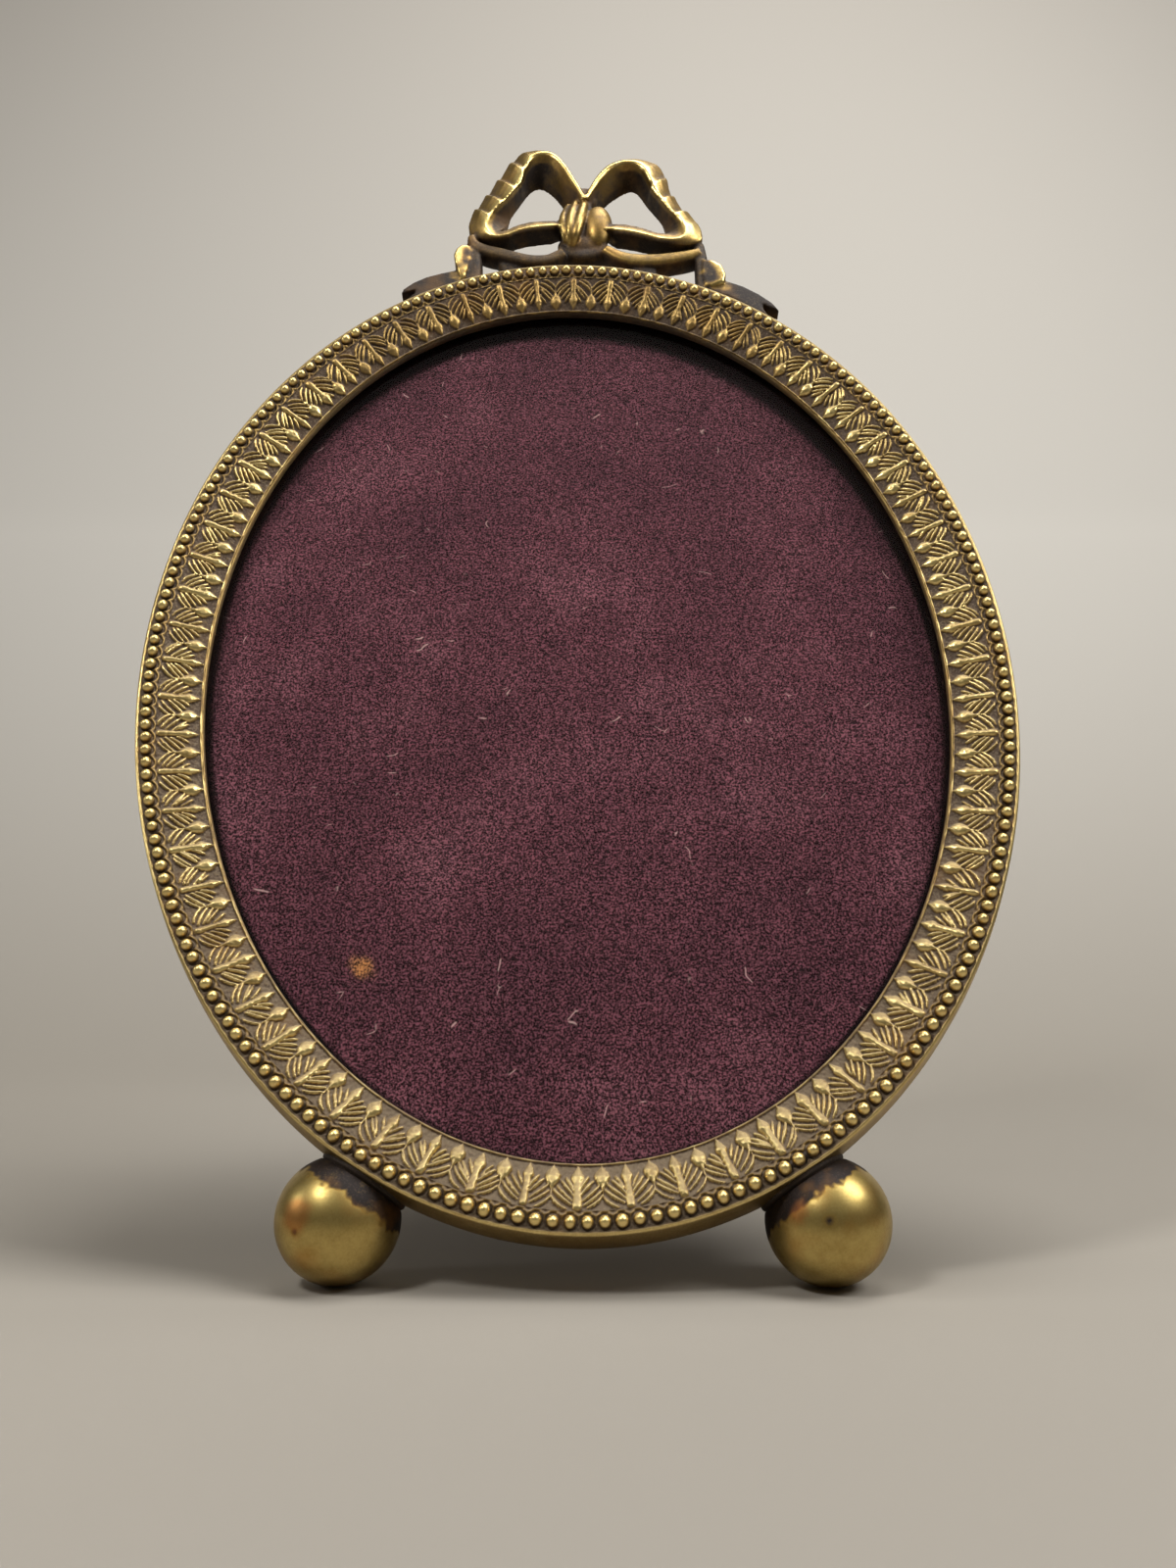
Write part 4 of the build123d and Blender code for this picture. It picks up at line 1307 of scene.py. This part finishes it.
    def knot(self) -> None:
        """Adds the knot: a gathered wrap on its left and a smooth bulge on its right."""
        self.bulge((780, 388), -5.4, (5.9, 6.2, 2.5), 0.06)
        self.bulge((778, 452), -5.6, (5.6, 3.6, 2.3), 0.06)
        self.bulge((786, 262), -5.2, (2.9, 3.4, 2.2), 0.1)
        self.bulge((742, 356), -4.0, (3.3, 5.6, 2.0), 0.1)
        self.cord([(722, 284, -4.6, .8), (700, 334, -3.1, 1.05), (704, 392, -2.9, 1.0),
                   (722, 446, -4.4, .7)], 0.5)
        self.cord([(752, 268, -4.2, .8), (732, 328, -2.5, 1.1), (726, 390, -2.4, 1.0),
                   (730, 450, -4.2, .7)], 0.5)
        self.cord([(788, 262, -4.0, .8), (772, 320, -2.4, 1.15), (752, 388, -2.3, 1.05),
                   (740, 450, -4.2, .7)], 0.5)
        self.bulge((840, 370), -4.3, (3.3, 6.2, 2.6), 0.45)
        self.cord([(804, 262, -4.2, .7), (800, 340, -4.0, .7), (780, 420, -4.4, .7)], 0.0)

    def build(self) -> None:
        """Builds the bow, attaches it to the frame and hides the node that it replaces."""
        self.loop(LEFT_LOOP, 0.27, 0.69, 5)
        self.loop(RIGHT_LOOP, 0.3, 0.68, 4)
        self.ribbons()
        self.knot()
        piece = self.parts.fused("ribbon_bow", self.voxel, self.brass)
        finish_piece(piece, Body.FRAME, "bow_brass", "bow_crest")


@dataclass(frozen=True)
class BallFoot:
    """A turned ball with its soldered collar; the ball has a pit and a copper-red painted reflection of
    something warm.

    Its ring_reach runs from the sight edge to the ball's middle.
    """

    side: Side
    brass: Material
    collar_brass: Material
    seed: float
    reflection_pixel: Pixel
    reflection_reach: float
    pit_pixel: Pixel
    pit_reach: float
    pit_depth: float
    radius: float = 9.5
    collar_radius: float = 7.4
    ring_reach: float = 18.0
    set_back: float = -8.0
    collar_top: float = 9.4
    sides: int = 200
    rings: int = 130
    swell: float = 5.0
    swell_share: float = 0.0015
    grain: float = 1.1
    grain_share: float = 0.0006
    reflection_share: float = 0.6

    def frame_of(self) -> tuple[Array, Array]:
        """Finds how the foot stands on the ring.

        Returns:
            Middle of the ball, and the turn that takes +z to the direction of the ring.
        """
        low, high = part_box("ball_foot_" + self.side.value)
        edge, outward = Oval().stations(1440, 0.0)
        across = (low.x + high.x) / 2 / MM
        place = STANCE.turned(np.column_stack([edge + outward * self.ring_reach, np.zeros(len(edge))]))
        direction = STANCE.turned(np.column_stack([outward, np.zeros(len(edge))]))
        near = np.where(place[:, 1] < 0, np.abs(place[:, 0] - across), 1e9).argmin()
        axis, forward = -direction[near], np.array([0.0, 0.0, 1.0])
        middle = np.array([place[near, 0], place[near, 1], self.set_back])
        return middle, np.stack([np.cross(forward, axis), forward, axis], axis=0)

    def away_from(self, pixel: Pixel, points: Array) -> Array:
        """Measures from where the line of sight through a pixel meets the ball.

        Args:
            pixel: across and down in the photograph.
            points: rows of x, y, z on the upright picture.

        Returns:
            Distances of the points in millimetres.
        """
        middle = self.frame_of()[0]
        near, far = SIGHT.on_picture([pixel, pixel], np.array([20.0, -30.0]))
        way = (far - near) / np.linalg.norm(far - near)
        along = (middle - near) @ way
        miss = np.linalg.norm(near + way * along - middle)
        spot = near + way * (along - math.sqrt(max(self.radius ** 2 - miss ** 2, 0.0)))
        return np.linalg.norm(points - spot, axis=1)

    def lathe(self, part: FootPart, profile: list[Pixel]) -> None:
        """Turns a profile about the foot's axis, attaches the piece to the frame and hides the node that it
        replaces.

        Args:
            part: what it makes.
            profile: radius and height above the ball's middle.
        """
        turn, (reach, rise) = turns(self.sides), np.array(profile).T
        local = np.stack([np.outer(reach, np.cos(turn)), np.outer(reach, np.sin(turn)),
                          np.outer(rise, np.ones(self.sides))], axis=-1).reshape(-1, 3)
        middle, axes = self.frame_of()
        chance, fine = wobble(local, self.swell, self.seed), wobble(local, self.grain, 11.0)
        local = local * (1 + self.swell_share * chance + self.grain_share * fine)[:, None]
        points = local @ axes + middle
        name, faces = f"{part.value}_{self.side.value}", capped_faces(len(profile), self.sides)
        if part is FootPart.COLLAR:
            wear = 0.1 + 0.08 * fine + 0.25 * smooth_step(0.3, 0.6, chance)
            piece = piece_from(name, points, faces, self.collar_brass, wear)
            finish_piece(piece, Body.FRAME, "collar_brass", "foot_collar_" + self.side.value)
            return
        shaded = smooth_step(0.24, 0.36, local[:, 2] / self.radius + 0.11 * chance + 0.1 * fine)
        pit = np.exp(-(self.away_from(self.pit_pixel, points) / self.pit_reach) ** 2)
        points -= (local / np.linalg.norm(local, axis=1)[:, None]) @ axes * (self.pit_depth * pit)[:, None]
        wear = (0.8 - 0.78 * shaded + 0.06 * chance) * (1 - 0.95 * pit)
        patch = self.away_from(self.reflection_pixel, points) + 1.3 * chance + 0.5 * fine
        piece = piece_from(name, points, faces, self.brass, wear)
        # Painted reflection: a copper-red reflection of something warm, painted on the ball.
        reflection_mask = smooth_step(self.reflection_reach, 0.3 * self.reflection_reach, patch)
        paint(piece.data, "copper", self.reflection_share * reflection_mask)
        finish_piece(piece, Body.FRAME, "ball_brass", "ball_foot_" + self.side.value)

    def build(self) -> None:
        """Builds the ball and its collar and attaches both to the frame."""
        radius = self.collar_radius
        flat = math.sqrt(self.radius ** 2 - radius ** 2)
        angles = np.linspace(math.pi - 0.02, math.acos(flat / self.radius), self.rings)
        ball = [(self.radius * math.sin(a), self.radius * math.cos(a)) for a in angles]
        self.lathe(FootPart.BALL, ball + [(radius - 0.25, flat + 0.02), (radius - 2.0, flat + 0.02)])
        steps = [(-2.0, -0.3), (-0.45, -0.1), (-0.5, 0.1), (-0.1, 0.3), (0.05, 0.6), (0.0, 1.2),
                 (0.05, 1.9), (0.5, 2.5)]
        self.lathe(FootPart.COLLAR, [(radius + wider, flat + higher) for wider, higher in steps]
                   + [(radius + 0.6, self.collar_top), (radius - 1.5, self.collar_top)])


@dataclass(frozen=True)
class VelvetPanel:
    """The velvet glued to the front and the back of the board."""

    velvet: Material
    half_width: float = 70.1
    half_height: float = 92.1
    face: float = -7.3
    thickness: float = 0.8
    back_face: float = -11.9
    spare: float = 0.001
    ripple: float = 0.06
    rings: int = 120
    sides: int = 240
    rounding: float = 0.015
    stain_pixel: Pixel = (370.0, 988.0)
    stain_reach: float = 2.2
    sight: Oval = Oval()
    lip_shadow_widths: tuple[float, float] = (0.7, 3.3)
    lip_shadow_bearing: float = 0.33

    def sheet(self, name: str, face: float, edge: float) -> Piece:
        """Builds one oval sheet whose edge turns down to its board.

        Args:
            name: the piece's name.
            face: z of its face.
            edge: z of its edge.

        Returns:
            The piece.
        """
        share = np.concatenate([np.linspace(0.004, 1.0, self.rings) ** 0.9, [1.0, 1.0]])
        turn = turns(self.sides)
        rim = np.clip((share - (1 - self.rounding)) / self.rounding, 0, 1)
        drop = np.concatenate([1 - np.sqrt(np.clip(1 - rim[:self.rings] ** 2, 0, 1)), [1.1, 2.2]])
        way = 1.0 if edge < face else -1.0
        z = face - way * np.outer(drop, np.ones(self.sides)) * abs(face - edge) / drop[-1]
        points = np.stack([np.outer(share, np.sin(turn)) * self.half_width,
                           np.outer(share, np.cos(turn)) * self.half_height, z], axis=-1).reshape(-1, 3)
        swells = self.ripple * wobble(points, 26.0, 4.0) * (1 - np.repeat(rim, self.sides))
        points[:, 2] += swells - self.ripple * way
        faces = grid_faces(len(share), self.sides, close_columns=True) + [list(reversed(range(self.sides)))]
        piece = piece_from(name, STANCE.turned(points), faces, self.velvet)
        if face > edge:
            self.stain(piece.data)
            self.paint_lip_shadow(piece.data, points)
        return piece

    def stain(self, mesh: bpy.types.Mesh) -> None:
        """Marks the tan stain low on the left of the front velvet."""
        spot = Vector(STANCE.place(SIGHT.on_picture([self.stain_pixel], self.face))[0])
        away = np.array([(vertex.co - spot).length for vertex in mesh.vertices]) / MM
        paint(mesh, "soil", 0.9 * smooth_step(self.stain_reach, 0.5, away))

    def paint_lip_shadow(self, mesh: bpy.types.Mesh, points: Array) -> None:
        """Paints the shadow of the lip on the front velvet: a nearly black painted shadow along the sight
        edge, widest at the upper right.

        Args:
            mesh: of the front velvet.
            points: its vertices before it leans, in millimetres.
        """
        x, y = points[:, 0], points[:, 1]
        wide, high = self.sight.half_width, self.sight.half_height
        inside = (1 - np.hypot(x / wide, y / high)) * wide
        facing = np.clip(np.cos(np.arctan2(x, y) - self.lip_shadow_bearing), 0, 1) ** 2.6
        width = self.lip_shadow_widths[0] + (self.lip_shadow_widths[1] - self.lip_shadow_widths[0]) * facing
        paint(mesh, "sheltered", smooth_step(1.35, 0.7, inside / width))

    def build(self) -> None:
        """Builds both sheets, attaches them to the frame and hides the nodes that they replace."""
        for name, face, edge, node in (
                ("front_velvet", self.face, self.face - self.thickness, "velvet_front"),
                ("back_velvet", self.back_face, self.back_face + self.thickness, "velvet_back")):
            piece = finish_piece(self.sheet(name, face, edge), Body.FRAME, "plum_velvet", node)


@dataclass(frozen=True)
class EaselLeg:
    """The velvet-covered easel leg."""

    velvet: Material
    start: float = 3.6
    top_half: float = 11.0
    foot_half: float = 19.0
    shoulder: float = 4.0
    reach: float = 146.8
    length: float = 134.8
    inner_face: float = -14.3
    skin_thickness: float = 0.6
    board: float = 2.5
    ripple: float = 0.04
    overhang: float = 0.15
    roll: float = 0.35
    edge_gap: float = 0.3
    mean_foot: float = 0.97
    rows: int = 120
    columns: int = 40

    def half_width(self, down: Array) -> Array:
        """Half the leg's width at distances below the hinge axis."""
        top = self.start + self.shoulder
        share = np.clip((down - top) / (self.reach - top), 0, 1)
        straight = self.top_half + (self.foot_half - self.top_half) * share
        crown = np.clip((top - down) / self.shoulder, 0, 1)
        return straight * np.sqrt(np.clip(1 - crown ** 2, 0.0, 1))

    def skin(self, name: str, face: float, outward: float, wrap: float) -> Piece:
        """Builds one velvet skin, whose edges turn over the board's.

        Args:
            name: the piece's name.
            face: z of its face while the leg is folded.
            outward: 1 if the face looks to the picture, -1 if it looks away.
            wrap: how far its edges turn over.

        Returns:
            The piece.
        """
        tilt = math.cos(STANCE.leg_swing - STANCE.lean)
        bottom = STANCE.hinge().z / MM / tilt
        down = self.start + 0.02 + (bottom - self.start) * np.linspace(0, 1, self.rows) ** 1.3
        flat = np.linspace(-1, 1, self.columns)
        rolled = self.roll * np.clip((np.abs(flat) - 0.94) / 0.06, 0, 1) ** 2
        across = np.concatenate([[-1.0, -1.0], flat, [1.0, 1.0]])
        lowered = np.concatenate([[wrap, self.roll], rolled, [self.roll, wrap]])
        over = self.overhang * np.concatenate([[-1.0, -1.0], np.zeros(self.columns), [1.0, 1.0]])
        x = self.half_width(down)[:, None] * across + over
        y = np.broadcast_to((STANCE.hinge_height - down)[:, None], x.shape)
        z = np.broadcast_to(face - outward * lowered, x.shape)
        points = np.stack([x, y, z], axis=-1).reshape(-1, 3)
        points[:, 2] += self.ripple * wobble(points, 14.0, 8.0) - self.ripple * outward
        below_floor = np.minimum(STANCE.place(STANCE.opened(points))[:, 2], 0.0) / MM
        points[:, 1] -= below_floor / tilt
        return piece_from(name, STANCE.opened(points), grid_faces(self.rows, len(across)), self.velvet)

    def build(self) -> None:
        """Builds both skins, attaches them to the leg and hides the nodes that they replace."""
        outer_face = self.inner_face - 2 * self.skin_thickness - self.board
        outer_wrap = self.skin_thickness + self.board - self.edge_gap
        for name, face, way, wrap, node in (
                ("leg_velvet_inner", self.inner_face, 1.0, self.skin_thickness, "strut_velvet_inner"),
                ("leg_velvet_outer", outer_face, -1.0, outer_wrap, "strut_velvet_outer")):
            piece = finish_piece(self.skin(name, face, way, wrap), Body.LEG, "plum_velvet", node)


@dataclass(frozen=True)
class Fittings:
    """Nodes of the model whose shape is right and that only need their finish."""

    nodes: tuple[str, ...]
    material: Material

    def build(self) -> None:
        """Gives the nodes their one material."""
        for name in self.nodes:
            piece = frame["nodes"][name]
            piece.data.materials.clear()
            piece.data.materials.append(self.material)
            LOG.info("%s: finished in %s", name, self.material.name)


@dataclass(frozen=True)
class SoftLamp:
    """A square area lamp that looks at the frame."""

    name: str
    place: Point
    size: float
    power: float
    aim: Point = (0.0, 0.0, 0.1)

    def build(self) -> None:
        """Hangs the lamp."""
        data = bpy.data.lights.new(self.name, "AREA")
        data.shape, data.size, data.energy = "SQUARE", self.size, self.power
        lamp = link_object(self.name, data)
        lamp.location, lamp.rotation_mode = self.place, "QUATERNION"
        lamp.rotation_quaternion = (Vector(self.aim) - Vector(self.place)).to_track_quat("-Z", "Y")


@dataclass(frozen=True)
class Studio:
    """Pale sweep, soft lamps and the camera, in metres."""

    floor_colour: str = "A49D92"
    wall_colour: str = "EBE5DA"
    painted_wall_top_shade: str = "CCC5BA"
    bounce: float = 0.16
    wall_bounce: float = 1.0
    room_colour: str = "C8C4BC"
    room_light: float = 0.07
    room_low: float = 0.18
    room_high: float = 0.62
    room_behind: float = 0.8
    across: tuple[float, ...] = (-2.0, -1.0, 0.0, 1.0, 2.0)
    bend_start: float = 0.22
    bend: float = 0.3
    lamps: tuple[SoftLamp, ...] = (
        SoftLamp("overhead", (0.14, 0.02, 0.95), 0.42, 4.4),
        SoftLamp("upper_left", (-0.36, -0.36, 0.66), 0.14, 2.2),
        SoftLamp("upper_right", (0.51, -0.19, 0.64), 0.34, 3.5),
        SoftLamp("low_left", (-0.66, -0.1, 0.3), 0.14, 0.4))

    def seen(self, nodes: Nodes) -> Socket:
        """Tells what is seen, straight or in metal and glass, from what only passes light on to cloth.

        Args:
            nodes: where the nodes go.

        Returns:
            1 for what is seen and 0 for passed light.
        """
        path = add_node(nodes.tree, "LightPath", {}).outputs
        shown = nodes.calc("MAXIMUM", path["Is Camera Ray"], path["Is Glossy Ray"])
        return nodes.calc("MAXIMUM", shown, path["Is Transmission Ray"])

    def paper(self) -> Material:
        """Matt pale paper, whose floor shows its colour but passes little light on.

        Returns:
            The node material.
        """
        nodes = Nodes(bpy.data.materials.new("pale paper sweep"))
        rise = nodes.span(nodes.add("SeparateXYZ", {0: nodes.place}, "Z"), 0.0, 0.7)
        # The wall is painted darker towards its top: painted shade.
        colour = nodes.ramp(rise, (0.0, self.floor_colour), (0.4, self.wall_colour),
                            (0.9, self.painted_wall_top_shade))
        passed = nodes.span(rise, 0.12, 0.3, self.bounce, self.wall_bounce)
        level = nodes.span(self.seen(nodes), 0.0, 1.0, passed)
        shown = nodes.add("Mix", {"data_type": "RGBA", "Factor": level, 6: linear(0.0), 7: colour}, 2)
        return nodes.surface({"Base Color": shown, "Roughness": 0.8, "Specular IOR Level": 0.2})

    def sweep(self) -> None:
        """Builds the floor that curves up into the backdrop."""
        wall = self.bend_start + self.bend
        rows = [(-1.2, 0.0), (-0.6, 0.0), (0.0, 0.0), (self.bend_start, 0.0)]
        rows += [(self.bend_start + self.bend * math.sin(a), self.bend - self.bend * math.cos(a))
                 for a in np.linspace(0.1, math.pi / 2, 14)] + [(wall, 0.8), (wall, 2.2)]
        mesh = bpy.data.meshes.new("sweep")
        points = [(x, y, z) for y, z in rows for x in self.across]
        mesh.from_pydata(points, [], grid_faces(len(rows), len(self.across)))
        mesh.shade_smooth()
        mesh.materials.append(self.paper())
        link_object("sweep", mesh)

    def world(self) -> None:
        """Lights the room.

        The camera sees it as plain grey; metal and glass show one that grows paler towards its
        ceiling, and only a little of it reaches the cloth.
        """
        nodes = Nodes(bpy.data.worlds.new("room"))
        rise = nodes.add("SeparateXYZ", {0: nodes.add("TexCoord", output="Generated")}, "Z")
        shown = nodes.span(rise, 0.3, 0.95, self.room_low, self.room_high)
        level = nodes.span(self.seen(nodes), 0.0, 1.0, self.room_light, shown)
        direct = nodes.add("LightPath", output="Is Camera Ray")
        level = nodes.span(direct, 0.0, 1.0, level, self.room_behind)
        light = nodes.add("Background", {"Color": linear(self.room_colour), "Strength": level})
        bpy.context.scene.world = nodes.end(light, "OutputWorld")

    def build(self) -> None:
        """Builds the whole studio."""
        self.sweep()
        self.world()
        for lamp in self.lamps:
            lamp.build()
        SIGHT.camera()
        bpy.context.scene.view_settings.view_transform = "Standard"


def main() -> None:
    """Builds every class in order and reports each piece."""
    logging.basicConfig(level=logging.INFO, format="%(name)s: %(message)s")
    ring_brass = PatinatedBrass("cast brass ring", settled=0.68).build()
    bead_brass = PatinatedBrass("cast brass beads", bright="E9CF8A", patina="2E2219",
                                bright_roughness=0.38).build()
    bow_brass = PatinatedBrass("cast brass bow", bright="DCC27C", worn="947944", dull="624F35",
                               patina="2C221B", dust_share=0.1, bright_roughness=0.3, blotch=1.8,
                               blotch_strength=0.55).build()
    ball_brass = PatinatedBrass("turned brass ball", bright="BDA565", worn="9C8348", dull="6E5832",
                                patina="241B17", dust="4A3A33", dust_share=0.35, stain="B07A3A",
                                stain_share=0.4, bright_roughness=0.36, patina_roughness=0.62,
                                blotch=2.4, blotch_strength=0.55, bump=0.01).build()
    collar_brass = PatinatedBrass("soldered brass collar", bright="B9B7B0", worn="77705F", dull="463B31",
                                  patina="33281F", dust="5A4A3C").build()
    velvet = CottonVelvet().build()
    RingCasting(ring_brass, bead_brass).build()
    BowCrest(bow_brass).build()
    BallFoot(Side.LEFT, ball_brass, collar_brass, seed=31.0, reflection_pixel=(303.0, 1238.0),
             reflection_reach=3.6, pit_pixel=(300.0, 1257.0), pit_reach=0.55, pit_depth=0.1).build()
    BallFoot(Side.RIGHT, ball_brass, collar_brass, seed=57.0, reflection_pixel=(816.0, 1240.0),
             reflection_reach=2.4, pit_pixel=(846.0, 1246.0), pit_reach=0.8, pit_depth=0.06).build()
    VelvetPanel(velvet).build()
    EaselLeg(velvet).build()
    buttons = tuple(f"turn_button_{height}_{side.value}" for height in ("upper", "lower") for side in Side)
    Fittings((*buttons, "button_screws", "button_washers", "hinge_plate", "hinge_pin", "plate_rivets",
              "hinge_strap", "strap_rivets"), RolledBrass().build()).build()
    Fittings(("backing_board", "strut_board"), PressedBoard().build()).build()
    Fittings(("glass_pane",), PictureGlass().build()).build()
    Studio().build()


if __name__ == "__main__":
    main()
